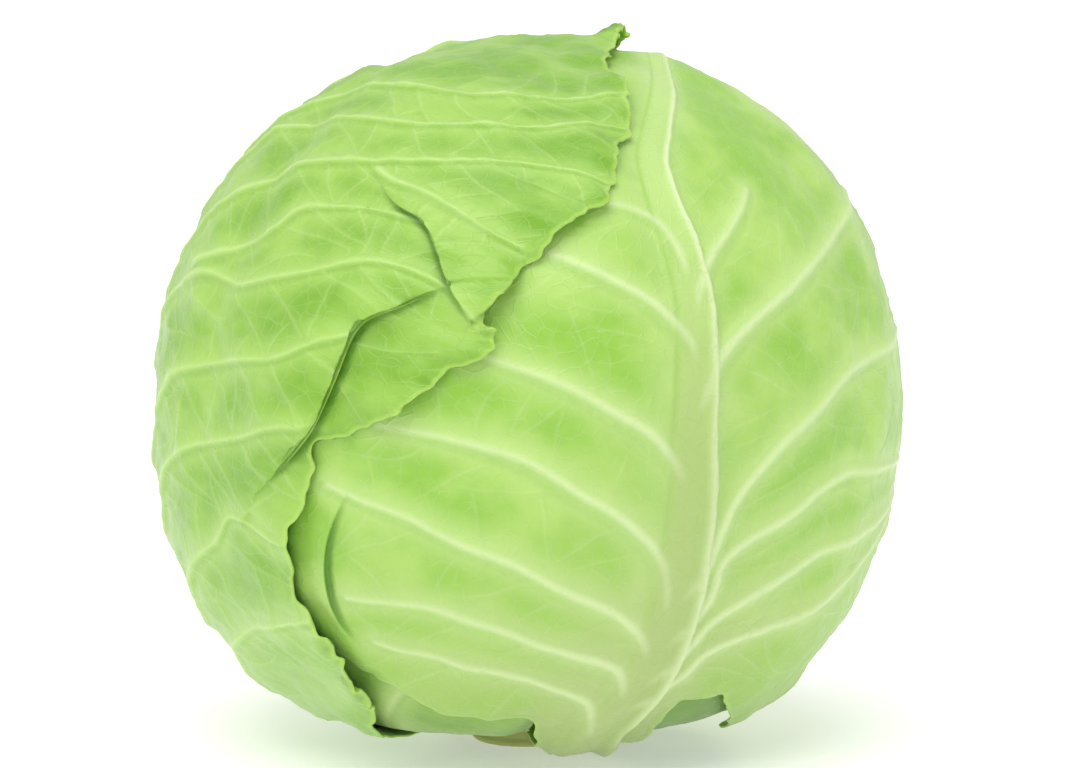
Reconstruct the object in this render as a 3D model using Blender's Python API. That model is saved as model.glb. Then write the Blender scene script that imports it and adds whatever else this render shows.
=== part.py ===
"""A green cabbage head standing on its cut stump.

Three big wrapper leaves lie over three inner leaves and a tight heart. Every leaf is a thin
closed blade that wraps round the head, with a waved edge, a thick midrib and raised side veins.
Sizes are in millimetres from the middle of the head, and the last step turns them into metres.
Azimuth 0 is the side that faces the viewer (-Y) and 90 is the right-hand side (+X).
"""

import math

import bmesh
import bpy
import numpy as np
from mathutils import Vector
from mathutils.geometry import delaunay_2d_cdt

MM = 0.001

# The head: a round body, pointed below but for the flat it has grown on
HEAD_WIDTH = 180.0
HEAD_ABOVE = 87.0
HEAD_BELOW = 90.0
HEAD_FLAT = 81.6
FULLNESS_ABOVE = 2.04
FULLNESS_BELOW = 2.3
FLAT_CORNER = 30

# Places where the leaves stand fuller: azimuth, latitude, reach in degrees and height
BULGES = [
    (92, 42, 16, 1.2),
    (-95, -28, 26, 1.8),
    (-45, -60, 16, 1.2),
    (60, -62, 18, 1.5),
]
HEART_DEPTH = 6.5
HEART_GROOVE = 1.6
HEART_AIR = 1.0

# The view in which front() points are read: an eye this far away and this high above level
EYE_DISTANCE = 1200.0
EYE_ELEVATION = 7.0

# Leaves: blade and air thickness, and how soon a leaf settles beside the edge of the one it covers
BLADE = 0.8
AIR = 1.1
FEATHER = 14.0
COVERED_RELIEF = 0.04
EDGE_STEP = 5.0
FOLD_STEP = 1.8
CURL_DEPTH = 4.5

# The stump
STUMP_RADIUS = 14.2
STUMP_PROUD = 0.4
STUMP_SIDES = 40
STUMP_CHAMFER = 1.0

# Latitudes at which the leaves end beside the stump
ROOT = -79.2
INNER_ROOT = -78.0


def smoothstep(x):
    x = np.clip(x, 0.0, 1.0)
    return x * x * (3.0 - 2.0 * x)


def globe(points):
    """Unit directions of (azimuth, latitude) points in degrees."""
    azimuth, latitude = np.radians(np.array(points, float)).T
    level = np.cos(latitude)
    return np.stack([np.sin(azimuth) * level, -np.cos(azimuth) * level, np.sin(latitude)], axis=1)


def head_radius(directions):
    """Distance from the middle of the head to its outer form, a flattened superellipse."""
    level = np.hypot(directions[:, 0], directions[:, 1]) / (HEAD_WIDTH / 2)
    above = directions[:, 2] >= 0
    height = np.abs(directions[:, 2]) / np.where(above, HEAD_ABOVE, HEAD_BELOW)
    power = np.where(above, FULLNESS_ABOVE, FULLNESS_BELOW)
    radius = (level**power + height**power) ** (-1.0 / power)
    flat = HEAD_FLAT / np.maximum(-directions[:, 2], 0.01)
    radius = (radius**-FLAT_CORNER + flat**-FLAT_CORNER) ** (-1.0 / FLAT_CORNER)
    for azimuth, latitude, reach, rise in BULGES:
        angle = np.degrees(np.arccos(np.clip(directions @ globe([(azimuth, latitude)])[0], -1, 1)))
        radius = radius + rise * np.exp(-((angle / reach) ** 2))
    return radius


def front(points):
    """Unit directions of the places on the head seen (right, up) of its middle from the front."""
    points = np.array(points, float)
    tilt = math.radians(EYE_ELEVATION)
    eye = EYE_DISTANCE * np.array([0.0, -math.cos(tilt), math.sin(tilt)])
    up = np.array([0.0, math.sin(tilt), math.cos(tilt)])
    target = points[:, :1] * np.array([1.0, 0.0, 0.0]) + points[:, 1:] * up
    ray = target - eye
    ray /= np.linalg.norm(ray, axis=1, keepdims=True)
    nearest = -(ray @ eye)
    radius = np.full(len(points), HEAD_WIDTH / 2)
    for _ in range(6):
        miss = radius**2 - (eye @ eye - nearest**2)
        hit = eye + ray * (nearest - np.sqrt(np.maximum(miss, 0.0)))[:, None]
        found = hit / np.linalg.norm(hit, axis=1, keepdims=True)
        radius = head_radius(found)
    return found


def smooth_path(points, step, closed=False, rounding=3.0):
    """A smooth curve along the points, as points about a step apart."""
    points = np.array(points, float)
    if closed:
        points = np.concatenate([points, points[:1]])
    along = np.concatenate([[0.0], np.cumsum(np.linalg.norm(np.diff(points, axis=0), axis=1))])
    count = max(4, round(along[-1]))
    fine = np.stack([np.interp(np.linspace(0, along[-1], count + 1), along, c) for c in points.T], axis=1)
    reach = min(int(3 * rounding), count // 2)
    if closed:
        fine = fine[:-1]
        padded = np.concatenate([fine[-reach:], fine, fine[:reach]])
    else:
        head = 2 * fine[:1] - fine[reach:0:-1]
        tail = 2 * fine[-1:] - fine[-2 : -reach - 2 : -1]
        padded = np.concatenate([head, fine, tail])
    weights = np.exp(-0.5 * (np.arange(-reach, reach + 1) / rounding) ** 2)
    weights /= weights.sum()
    smooth = np.stack([np.convolve(c, weights, mode="valid") for c in padded.T], axis=1)
    if closed:
        smooth = np.concatenate([smooth, smooth[:1]])
    along = np.concatenate([[0.0], np.cumsum(np.linalg.norm(np.diff(smooth, axis=0), axis=1))])
    stations = np.linspace(0, along[-1], max(3, round(along[-1] / step)) + 1)
    if closed:
        stations = stations[:-1]
    return np.stack([np.interp(stations, along, c) for c in smooth.T], axis=1)


def nearest_on_path(points, path, closed=False):
    """Distance to a path, the share of its length at the nearest place, and the side, 1 or -1."""
    start = path
    end = np.roll(path, -1, axis=0)
    if not closed:
        start, end = start[:-1], end[:-1]
    along = end - start
    length = np.maximum(np.linalg.norm(along, axis=1), 1e-9)
    before = np.concatenate([[0.0], np.cumsum(length)[:-1]])
    best = np.full(len(points), np.inf)
    share = np.zeros(len(points))
    side = np.ones(len(points))
    for a, d, size, done in zip(start, along, length, before):
        offset = points - a
        t = np.clip(offset @ d / size**2, 0.0, 1.0)
        distance = np.linalg.norm(offset - t[:, None] * d, axis=1)
        closer = distance < best
        best[closer] = distance[closer]
        share[closer] = (done + t * size)[closer]
        turn = d[0] * offset[:, 1] - d[1] * offset[:, 0]
        side[closer] = np.where(turn > 0, 1.0, -1.0)[closer]
    return best, share / length.sum(), side


def inside(points, outline):
    """True for the points within a closed outline."""
    within = np.zeros(len(points), bool)
    for a, b in zip(outline, np.roll(outline, -1, axis=0)):
        spans = (a[1] > points[:, 1]) != (b[1] > points[:, 1])
        rise = b[1] - a[1] if b[1] != a[1] else 1e-12
        crossing = a[0] + (points[:, 1] - a[1]) / rise * (b[0] - a[0])
        within ^= spans & (points[:, 0] < crossing)
    return within


class Vein:
    """A rib on a leaf: its path, and its half width and height at its root and at its end."""

    def __init__(self, path, widths, heights, crest=0.0):
        self.path = path
        self.widths = widths
        self.heights = heights
        self.crest = crest

    def half_width(self, share):
        return self.widths[0] + (self.widths[1] - self.widths[0]) * share

    def relief(self, points):
        distance, share, side = nearest_on_path(points, self.path)
        lateral = side * distance / self.half_width(share) - self.crest
        lateral = np.where(lateral > 0, lateral / (1 - self.crest), lateral / (1 + self.crest))
        height = self.heights[0] + (self.heights[1] - self.heights[0]) * share
        return height * np.clip(1 - lateral**2, 0, 1) ** 1.5

    def guides(self, step, offsets):
        """Rows of points along the rib, each at one share of its half width from the crest."""
        length = np.linalg.norm(np.diff(self.path, axis=0), axis=1)
        along = np.concatenate([[0.0], np.cumsum(length)])
        stations = np.linspace(0, along[-1], max(2, round(along[-1] / step)) + 1)
        centre = np.stack([np.interp(stations, along, self.path[:, i]) for i in (0, 1)], axis=1)
        tangent = np.gradient(centre, axis=0)
        tangent /= np.linalg.norm(tangent, axis=1, keepdims=True)
        normal = np.stack([-tangent[:, 1], tangent[:, 0]], axis=1)
        width = self.half_width(stations / along[-1])[:, None]
        return [centre + normal * width * offset for offset in offsets]


class Leaf:
    """One leaf. Its outline and veins lie in a flat map, measured out from the leaf's own centre."""

    def __init__(self, name, centre, outline, spacing, wave, seed):
        self.name = name
        self.middle = globe([centre])[0]
        self.east = np.cross([0.0, 0.0, 1.0], self.middle)
        self.east /= np.linalg.norm(self.east)
        self.north = np.cross(self.middle, self.east)
        self.outline = smooth_path(self.flat(outline), EDGE_STEP, closed=True, rounding=2.2)
        self.spacing = spacing
        self.wave = wave
        self.random = np.random.default_rng(seed)
        self.side_rows = (0, 1, -1)
        self.veins = []
        self.folds = []
        self.curls = []
        self.beneath = []
        self.above = []

    def flat(self, directions):
        """Places on the map, in millimetres along the head's surface from the leaf's centre."""
        angle = np.arccos(np.clip(directions @ self.middle, -1, 1))
        scale = HEAD_WIDTH / 2 * angle / np.maximum(np.sin(angle), 1e-9)
        return np.stack([directions @ self.east, directions @ self.north], axis=1) * scale[:, None]

    def raised(self, points):
        """The directions from the head's middle of places on the map."""
        distance = np.maximum(np.linalg.norm(points, axis=1), 1e-9)
        angle = (distance / (HEAD_WIDTH / 2))[:, None]
        sideways = (points[:, :1] * self.east + points[:, 1:] * self.north) / distance[:, None]
        return self.middle * np.cos(angle) + sideways * np.sin(angle)

    def depth(self, points):
        """Distance inside the outline, negative outside it."""
        distance, _, _ = nearest_on_path(points, self.outline, closed=True)
        return np.where(inside(points, self.outline), distance, -distance)

    def cover(self, directions, feather=FEATHER, spread=6.0):
        """1 where this leaf lies and just round it, falling to 0 a feather's width further out."""
        return smoothstep((self.depth(self.flat(directions)) + spread + feather) / feather)

    def add_vein(self, directions, widths, heights, crest=0.0, rooted=False):
        path = self.flat(directions)
        if rooted:
            path = np.concatenate([self.root_of(path[0])[None], path])
        self.veins.append(Vein(smooth_path(path, 4.0), widths, heights, crest))

    def root_of(self, place):
        """Where a side vein seen from here on leaves the midrib: lower down, so that it slants."""
        rib = self.veins[0].path
        distance = np.linalg.norm(rib - place, axis=1)
        nearest = int(np.argmin(distance))
        lower = nearest - round(0.8 * distance[nearest] / np.linalg.norm(rib[1] - rib[0]))
        return rib[max(lower, 2)]

    def add_curls(self, curls):
        """Places on the edge that stand up: each a direction, a height and a reach."""
        for direction, height, reach in curls:
            self.curls.append((self.flat(direction)[0], height, reach))

    def add_side_veins(self, count, first, last, widths, heights, sides=(1, -1)):
        """Side veins that leave the midrib, the first vein, and curve out to the edge."""
        rib = self.veins[0].path
        for number in range(count):
            for side in sides:
                share = first + (last - first) * (number + (0.25 if side > 0 else 0.0)) / (count - 0.5)
                at = int(share * (len(rib) - 2))
                heading = math.atan2(*(rib[at + 1] - rib[at])[::-1]) + side * math.radians(34)
                place = rib[at].copy()
                path = [place.copy()]
                for _ in range(40):
                    heading += side * math.radians(2.2)
                    place += 6.0 * np.array([math.cos(heading), math.sin(heading)])
                    if self.depth(place[None])[0] < 5.0:
                        break
                    path.append(place.copy())
                if len(path) > 3:
                    fade = 1.0 - 0.35 * share
                    self.veins.append(
                        Vein(np.array(path), (widths[0] * fade, widths[1]), (heights[0] * fade, heights[1]))
                    )

    def underside(self, directions):
        """Where the leaf's inner face lies: on the heart and on every leaf beneath."""
        radius = heart_radius(directions) + HEART_AIR
        for leaf in self.beneath:
            radius = radius + (BLADE + AIR) * leaf.cover(directions)
        return radius

    def lift(self, points, directions):
        """How far the blade stands off what it lies on: its ruffled edge, folds and curls."""
        distance, share, _ = nearest_on_path(points, self.outline, closed=True)
        turn = 2 * math.pi * share
        ruffle = sum(np.sin(n * turn + p) for n, p in self.ruffles) / len(self.ruffles)
        near = np.exp(-((distance / self.wave["reach"]) ** 2))
        raised = self.wave["lift"] * near * (0.55 + 0.9 * ruffle).clip(0, None)
        for fold in self.folds:
            raised = raised + fold.lift(points)
        raised = raised * (1 - max_cover(self.above, directions))
        curled = np.zeros(len(points))
        for place, height, reach in self.curls:
            away = np.linalg.norm(points - place, axis=1) / reach
            curled = np.maximum(curled, height * np.exp(-(away**2) - (distance / CURL_DEPTH) ** 2))
        raised = raised + curled * (1 - max_cover(self.above, directions, feather=2.5, spread=1.0))
        return raised * smoothstep((directions[:, 2] + 0.95) / 0.1)

    def relief(self, points, directions):
        """The ribs on the outer face, flat where another leaf presses on them."""
        height = np.zeros(len(points))
        for vein in self.veins:
            height = np.maximum(height, vein.relief(points))
        covered = max_cover(self.above, directions)
        return height * (1 - (1 - COVERED_RELIEF) * covered)

    def waved_outline(self):
        """The outline with its waves, flat to the stump at the leaf's root."""
        outline = self.outline
        share = np.arange(len(outline)) / len(outline)
        tangent = np.roll(outline, -1, axis=0) - np.roll(outline, 1, axis=0)
        tangent /= np.linalg.norm(tangent, axis=1, keepdims=True)
        normal = np.stack([tangent[:, 1], -tangent[:, 0]], axis=1)
        wave = sum(np.sin(2 * math.pi * n * share + p) for n, p in self.ripples) / len(self.ripples)
        free = smoothstep((self.raised(outline)[:, 2] + 0.95) / 0.1)
        return outline + normal * (self.wave["depth"] * wave * free)[:, None]

    def settle(self):
        """Draws the seeded waves, once the leaf's outline is known."""
        around = len(self.outline) * EDGE_STEP
        count = around / self.wave["length"]
        draw = self.random.uniform
        self.ripples = [(round(count * f), draw(0, 2 * math.pi)) for f in (1.0, 0.62, 0.37)]
        self.ruffles = [(round(count * f), draw(0, 2 * math.pi)) for f in (0.55, 0.33, 0.19)]

    def map_points(self):
        """The map's points and the edges that the triangles keep: outline, ribs, then filling."""
        outline = self.waved_outline()
        kept = list(outline)
        rows = []
        for number, vein in enumerate(self.veins):
            offsets = (0, 0.5, -0.5, 1, -1) if number == 0 else self.side_rows
            rows += vein.guides(self.spacing, offsets)
        for fold in self.folds:
            rows += fold.guides(self.spacing * 0.8)
        lowest = {"row": 1.7, "fill": 0.62 * self.spacing}
        edges = []
        for row in rows:
            depth = self.depth(row)
            previous = None
            for point, room in zip(row, depth):
                clear = np.min(np.linalg.norm(np.array(kept) - point, axis=1)) > lowest["row"]
                if room < 2.5 or not clear:
                    previous = None
                    continue
                kept.append(point)
                if previous is not None:
                    edges.append((previous, len(kept) - 1))
                previous = len(kept) - 1
        low, high = outline.min(axis=0), outline.max(axis=0)
        across = np.arange(low[0], high[0], self.spacing)
        for number, y in enumerate(np.arange(low[1], high[1], self.spacing * 0.866)):
            line = np.stack([across + (number % 2) * self.spacing / 2, np.full(len(across), y)], axis=1)
            for point in line[self.depth(line) > 3.5]:
                if np.min(np.linalg.norm(np.array(kept) - point, axis=1)) > lowest["fill"]:
                    kept.append(point)
        return np.array(kept), len(outline), edges

    def mesh(self):
        """Vertices in millimetres and triangles of the closed blade."""
        points, around, edges = self.map_points()
        made = delaunay_2d_cdt(
            [Vector(p) for p in points], edges, [list(range(around))], 1, 1e-5, False
        )
        flat = np.array([tuple(p) for p in made[0]])
        faces = np.array([tuple(face) for face in made[2]])
        within = inside(flat[faces].mean(axis=1), points[:around])
        triangles = [tuple(face) for face in faces[within].tolist()]
        directions = self.raised(flat)
        bottom = self.underside(directions) + self.lift(flat, directions)
        top = bottom + BLADE + self.relief(flat, directions)
        corners = np.concatenate([directions * top[:, None], directions * bottom[:, None]])
        return corners, closed_blade(triangles, len(flat))


class Fold:
    """A lap in a blade: along its path one side stands up in a step that dies away from it."""

    def __init__(self, path, height, reach, side):
        self.path = path
        self.height = height
        self.reach = reach
        self.side = side

    def lift(self, points):
        distance, share, side = nearest_on_path(points, self.path)
        strength = self.height * np.sin(math.pi * np.clip(share, 0.02, 0.98)) ** 0.5
        on_lap = np.exp(-((distance / self.reach) ** 2))
        beside = smoothstep(1 - distance / FOLD_STEP)
        return strength * np.where(side == self.side, on_lap, beside)

    def guides(self, step):
        line = Vein(self.path, (FOLD_STEP, FOLD_STEP), (0, 0))
        return line.guides(step, (0, -self.side))


def closed_blade(triangles, count):
    """Triangles of the outer face, of the same face turned over as the inner one, and of the rim."""
    seen = {}
    for a, b, c in triangles:
        for edge in ((a, b), (b, c), (c, a)):
            seen[edge] = True
    rim = [edge for edge in seen if (edge[1], edge[0]) not in seen]
    faces = list(triangles)
    faces += [(c + count, b + count, a + count) for a, b, c in triangles]
    for a, b in rim:
        faces += [(b, a, a + count), (b, a + count, b + count)]
    return faces


def max_cover(leaves, directions, feather=12.0, spread=4.0):
    """How far any of these leaves covers each direction, from 0 to 1."""
    covered = np.zeros(len(directions))
    for leaf in leaves:
        covered = np.maximum(covered, leaf.cover(directions, feather, spread))
    return covered


def heart_radius(directions):
    return head_radius(directions) - HEART_DEPTH


# Outlines and ribs. front() lists are (right, up) of the head's middle as seen from the front,
# and globe() lists are (azimuth, latitude) in degrees where the view from the front ends.
LEFT_EDGE_SEEN = [
    (20, 84), (24, 74), (25, 65), (22, 58), (21, 52), (19, 46), (13, 41), (7, 38), (2, 33), (-4, 28),
    (-9, 22), (-11, 17), (-7, 15), (-9, 10), (-17, 6), (-25, 0), (-31, -5), (-38, -8), (-45, -10),
    (-52, -12), (-52, -19), (-54, -25), (-57, -33), (-57, -42), (-56, -49), (-51, -55), (-47, -62),
    (-43, -68), (-39, -73), (-38, -78),
]
LEFT_EDGE_HIDDEN = [
    (-50, -70), (-70, -75), (-85, ROOT), (-110, ROOT), (-132, ROOT), (-146, -74), (-158, -62),
    (-166, -45), (-170, -22), (-172, 2), (-176, 25), (-183, 44), (-198, 58), (-222, 68), (-255, 74),
]
LEFT_RIB = [
    (-108, -79), (-108, -65), (-106, -45), (-103, -22), (-101, 0), (-101, 22), (-106, 44), (-116, 62),
    (-136, 72), (-170, 77),
]

FRONT_EDGE_SEEN = [
    (-58, -4), (-58, -12), (-59, -19), (-60, -25), (-62, -33), (-62, -42), (-61, -49), (-57, -56),
    (-52, -62), (-46, -67), (-40, -70), (-34, -73), (-28, -77), (-21, -80), (-12, -80), (-4, -82), (2, -82),
]
FRONT_EDGE_ROOT = [(-6, -77), (-8, ROOT), (20, ROOT), (48, ROOT), (42, -75)]
FRONT_EDGE_RIGHT = [
    (37, -76), (43, -76), (48, -74),
]
FRONT_EDGE_HIDDEN = [
    (74, -59), (82, -53), (87, -46), (89, -38), (91, -28), (91, -16), (91, -4), (95, 10), (100, 28),
    (108, 46), (124, 62), (165, 74), (-110, 80), (-62, 72), (-46, 55), (-46, 35), (-46, 15),
]
FRONT_RIB = [
    (15, -83), (27, -72), (35, -55), (38, -40), (40, -26), (40, -14), (41, -2), (41, 10), (41, 22),
    (38, 34), (33, 47), (30, 58), (32, 68), (33, 77),
]
FRONT_SIDE_RIBS = [
    [(38, 34), (33, 42), (27, 45), (20, 46)],
    [(41, 12), (36, 17), (29, 23), (21, 27), (13, 31), (6, 34), (-2, 37)],
    [(37, -19), (34, -14), (29, -9), (21, -5), (13, 0), (6, 3), (-2, 6), (-8, 8), (-14, 10)],
    [(34, -45), (32, -39), (27, -34), (21, -29), (13, -25), (6, -20), (-2, -16), (-21, -11), (-38, -8)],
    [(29, -62), (26, -57), (19, -52), (8, -48), (-2, -43), (-21, -36), (-29, -31), (-43, -26), (-50, -23)],
    [(23, -67), (15, -64), (1, -62), (-6, -59), (-16, -56), (-23, -53), (-34, -52), (-45, -51)],
    [(15, -74), (1, -71), (-9, -69), (-16, -68), (-23, -65), (-32, -64), (-38, -62)],
    [(42, 26), (45, 34), (49, 39), (52, 44), (54, 50), (54, 57), (52, 62)],
    [(44, 0), (47, 9), (51, 13), (57, 19), (63, 24), (68, 29), (73, 35), (77, 42)],
    [(45, -42), (48, -33), (52, -25), (58, -18), (64, -11), (70, -6), (76, 1), (80, 6), (85, 9)],
    [(45, -52), (47, -42), (55, -36), (64, -31), (71, -25), (78, -20), (84, -19)],
    [(41, -62), (44, -57), (52, -52), (59, -48), (67, -43), (72, -39), (78, -36)],
    [(38, -70), (42, -65), (51, -61), (59, -58), (66, -55), (71, -51)],
]

LEFT_SIDE_RIBS = [
    [(-41, 75), (-28, 74), (-11, 72), (3, 72), (18, 71), (24, 71)],
    [(-58, 65), (-46, 67), (-28, 65), (-11, 65), (4, 64), (13, 65), (23, 64)],
    [(-75, 45), (-66, 51), (-53, 56), (-38, 56), (-21, 56), (-2, 56), (6, 54), (18, 50)],
    [(-86, 25), (-78, 30), (-70, 26), (-53, 29), (-36, 32), (-23, 28), (-18, 25), (-13, 18)],
    [(-86, 5), (-79, 7), (-72, 8), (-60, 8), (-53, 11), (-44, 15)],
    [(-87, -16), (-83, -13), (-78, -12), (-70, -11), (-64, -9), (-55, -7)],
    [(-82, -42), (-76, -36), (-75, -30), (-70, -31), (-59, -36)],
    [(-72, -62), (-68, -58), (-62, -57), (-51, -54)],
]
LEFT_BRANCHES = [
    [(-38, 56), (-34, 52), (-25, 49), (-18, 45), (-9, 39), (-2, 35)],
    [(-82, 31), (-71, 36), (-63, 39), (-55, 45), (-38, 45), (-25, 41)],
]
LEFT_LAP = [
    (-19, 26), (-25, 25), (-31, 22), (-41, 19), (-44, 15), (-48, 5), (-51, -2), (-54, -9), (-58, -14),
    (-65, -23),
]
LEFT_TONGUE = [(-34, 49), (-30, 45), (-24, 42), (-20, 37), (-19, 31), (-17, 25), (-14, 18)]
LEFT_TUCK = [(-2, 31), (-6, 26), (-9, 22), (-13, 18)]
LEFT_CURLS = [((17, 86), 4.5, 7.0), ((24, 70), 1.2, 7.0), ((-57, -40), 1.4, 10.0), ((-44, -67), 1.4, 9.0)]
FRONT_CURLS = [
    ((83, -36), 1.2, 8.0), ((73, -48), 1.2, 9.0), ((61, -64), 1.0, 9.0), ((-30, -73), 1.2, 8.0),
]

BACK_EDGE = [
    (150, ROOT), (165, ROOT), (182, ROOT), (196, -73), (208, -60), (216, -42), (220, -15),
    (222, 12), (224, 38), (222, 62), (200, 78), (120, 79), (96, 66), (86, 45), (80, 22), (74, 0),
    (64, -20), (58, -36), (60, -48), (74, -56), (96, -62), (118, -68), (136, -75),
]
BACK_RIB = [(165, -79), (164, -62), (160, -40), (156, -15), (154, 10), (155, 34), (160, 56), (172, 70)]

INNER_OUTLINE = [
    (-16, INNER_ROOT), (0, INNER_ROOT), (16, INNER_ROOT), (36, -74), (55, -62), (66, -42), (72, -15), (73, 12),
    (68, 36), (52, 54), (20, 64), (-20, 64), (-52, 54), (-68, 36), (-73, 12), (-72, -15), (-66, -42),
    (-55, -62), (-36, -74),
]
INNER_RIB = [(0, -79), (2, -62), (3, -40), (1, -15), (-1, 12), (0, 34), (2, 50)]


def turned(points, azimuth):
    return [(a + azimuth, latitude) for a, latitude in points]


def left_leaf():
    outline = np.concatenate([front(LEFT_EDGE_SEEN), globe(LEFT_EDGE_HIDDEN)])
    wave = {"depth": 1.3, "length": 15.0, "lift": 2.2, "reach": 9.0}
    leaf = Leaf("leaf_left", (-100, 8), outline, 12.0, wave, seed=3)
    leaf.add_vein(globe(LEFT_RIB), (11.0, 1.6), (3.6, 0.8))
    for path in LEFT_SIDE_RIBS:
        leaf.add_vein(front(path), (3.2, 1.7), (1.3, 0.6), rooted=True)
    for path in LEFT_BRANCHES:
        leaf.add_vein(front(path), (2.2, 1.7), (0.9, 0.6))
    for path, height, reach, side in (
        (LEFT_LAP, 2.6, 20.0, -1),
        (LEFT_TONGUE, 2.0, 9.0, 1),
        (LEFT_TUCK, 1.8, 6.0, -1),
    ):
        leaf.folds.append(Fold(smooth_path(leaf.flat(front(path)), 4.0), height, reach, side))
    leaf.add_side_veins(6, 0.1, 0.85, (3.4, 1.8), (1.3, 0.6), sides=(1,))
    leaf.add_curls((front([place]), height, reach) for place, height, reach in LEFT_CURLS)
    return leaf


def front_leaf():
    outline = np.concatenate(
        [
            front(FRONT_EDGE_SEEN),
            globe(FRONT_EDGE_ROOT),
            front(FRONT_EDGE_RIGHT),
            globe(FRONT_EDGE_HIDDEN),
        ]
    )
    wave = {"depth": 1.2, "length": 17.0, "lift": 1.5, "reach": 8.0}
    leaf = Leaf("leaf_front", (25, 0), outline, 12.0, wave, seed=5)
    root = globe([(20, -79)])
    rib = np.concatenate([root, front(FRONT_RIB)])
    leaf.add_vein(rib, (12.5, 2.2), (3.9, 1.0), crest=-0.35)
    for path in FRONT_SIDE_RIBS:
        leaf.add_vein(front(path), (4.2, 1.8), (1.6, 0.6))
    leaf.add_curls((front([place]), height, reach) for place, height, reach in FRONT_CURLS)
    return leaf


def back_leaf():
    wave = {"depth": 1.3, "length": 16.0, "lift": 1.8, "reach": 8.0}
    leaf = Leaf("leaf_back", (155, 0), globe(BACK_EDGE), 12.0, wave, seed=7)
    leaf.add_vein(globe(BACK_RIB), (11.5, 2.0), (3.6, 0.9))
    leaf.add_side_veins(6, 0.12, 0.82, (3.6, 1.8), (1.4, 0.6))
    return leaf


def inner_leaf(name, azimuth, seed):
    wave = {"depth": 1.2, "length": 18.0, "lift": 0.8, "reach": 6.0}
    leaf = Leaf(name, (azimuth, 0), globe(turned(INNER_OUTLINE, azimuth)), 12.0, wave, seed)
    leaf.add_vein(globe(turned(INNER_RIB, azimuth)), (9.5, 2.0), (3.2, 0.8))
    leaf.side_rows = (0,)
    leaf.add_side_veins(5, 0.1, 0.8, (3.4, 1.8), (1.2, 0.6))
    return leaf


def wrapped_leaves():
    """All leaves from the inside out, each told what lies beneath and above it."""
    leaves = [
        inner_leaf("inner_leaf_rear", -142, seed=11),
        inner_leaf("inner_leaf_right", 80, seed=13),
        inner_leaf("inner_leaf_left", -57, seed=17),
        back_leaf(),
        front_leaf(),
        left_leaf(),
    ]
    for number, leaf in enumerate(leaves):
        leaf.beneath = leaves[:number]
        leaf.above = leaves[number + 1 :]
        leaf.settle()
    return leaves


def heart_mesh():
    """The tight heart: inner leaves wrapped one over another, drawn as ribs and laps in its surface."""
    ball = bmesh.new()
    bmesh.ops.create_icosphere(ball, subdivisions=4, radius=1.0)
    directions = np.array([tuple(v.co.normalized()) for v in ball.verts])
    faces = [tuple(v.index for v in face.verts) for face in ball.faces]
    ball.free()
    sink = np.zeros(len(directions))
    for number in range(5):
        centre = globe([(137.5 * number + 10, 12)])[0]
        angle = np.degrees(np.arccos(np.clip(directions @ centre, -1, 1)))
        edge = 74 + 4 * np.sin(5 * np.arctan2(directions[:, 2], directions[:, 0]) + number)
        sink = np.maximum(sink, HEART_GROOVE * np.exp(-(((angle - edge) / 7) ** 2)))
    radius = heart_radius(directions) - sink
    return directions * radius[:, None], faces


def stump_mesh(cut):
    """The cut stump, turned about Z: a flat cut face below and a flat top under the heart."""
    top = -heart_radius(globe([(0, -90)]))[0] - AIR
    rings = [
        (STUMP_RADIUS - STUMP_CHAMFER, cut),
        (STUMP_RADIUS, cut + STUMP_CHAMFER),
        (STUMP_RADIUS * 0.96, (cut + top) / 2),
        (STUMP_RADIUS, top),
    ]
    corners = [(0.0, 0.0, cut)]
    for radius, height in rings:
        for number in range(STUMP_SIDES):
            turn = 2 * math.pi * number / STUMP_SIDES
            own = radius * (1 + 0.012 * math.sin(5 * turn) + 0.01 * math.sin(3 * turn + 1))
            corners.append((own * math.cos(turn), own * math.sin(turn), height))
    corners.append((0.0, 0.0, top))
    faces = []
    for number in range(STUMP_SIDES):
        after = (number + 1) % STUMP_SIDES
        faces.append((0, 1 + after, 1 + number))
        for ring in range(len(rings) - 1):
            low, high = 1 + ring * STUMP_SIDES, 1 + (ring + 1) * STUMP_SIDES
            faces.append((low + number, low + after, high + after))
            faces.append((low + number, high + after, high + number))
        last = 1 + (len(rings) - 1) * STUMP_SIDES
        faces.append((last + number, last + after, len(corners) - 1))
    return np.array(corners), faces


def material(name, colour, roughness):
    made = bpy.data.materials.new(name)
    made.use_nodes = True
    shader = made.node_tree.nodes["Principled BSDF"]
    shader.inputs["Base Color"].default_value = (*colour, 1.0)
    shader.inputs["Roughness"].default_value = roughness
    shader.inputs["Metallic"].default_value = 0.0
    return made


def add_object(name, corners, faces, finish, floor):
    """One node, in metres, with the stump's cut face at height 0."""
    mesh = bpy.data.meshes.new(name)
    placed = (corners - np.array([0.0, 0.0, floor])) * MM
    mesh.from_pydata([tuple(p) for p in placed], [], faces)
    mesh.materials.append(finish)
    mesh.shade_smooth()
    mesh.set_sharp_from_angle(angle=math.radians(50))
    made = bpy.data.objects.new(name, mesh)
    bpy.context.scene.collection.objects.link(made)
    return made


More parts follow.
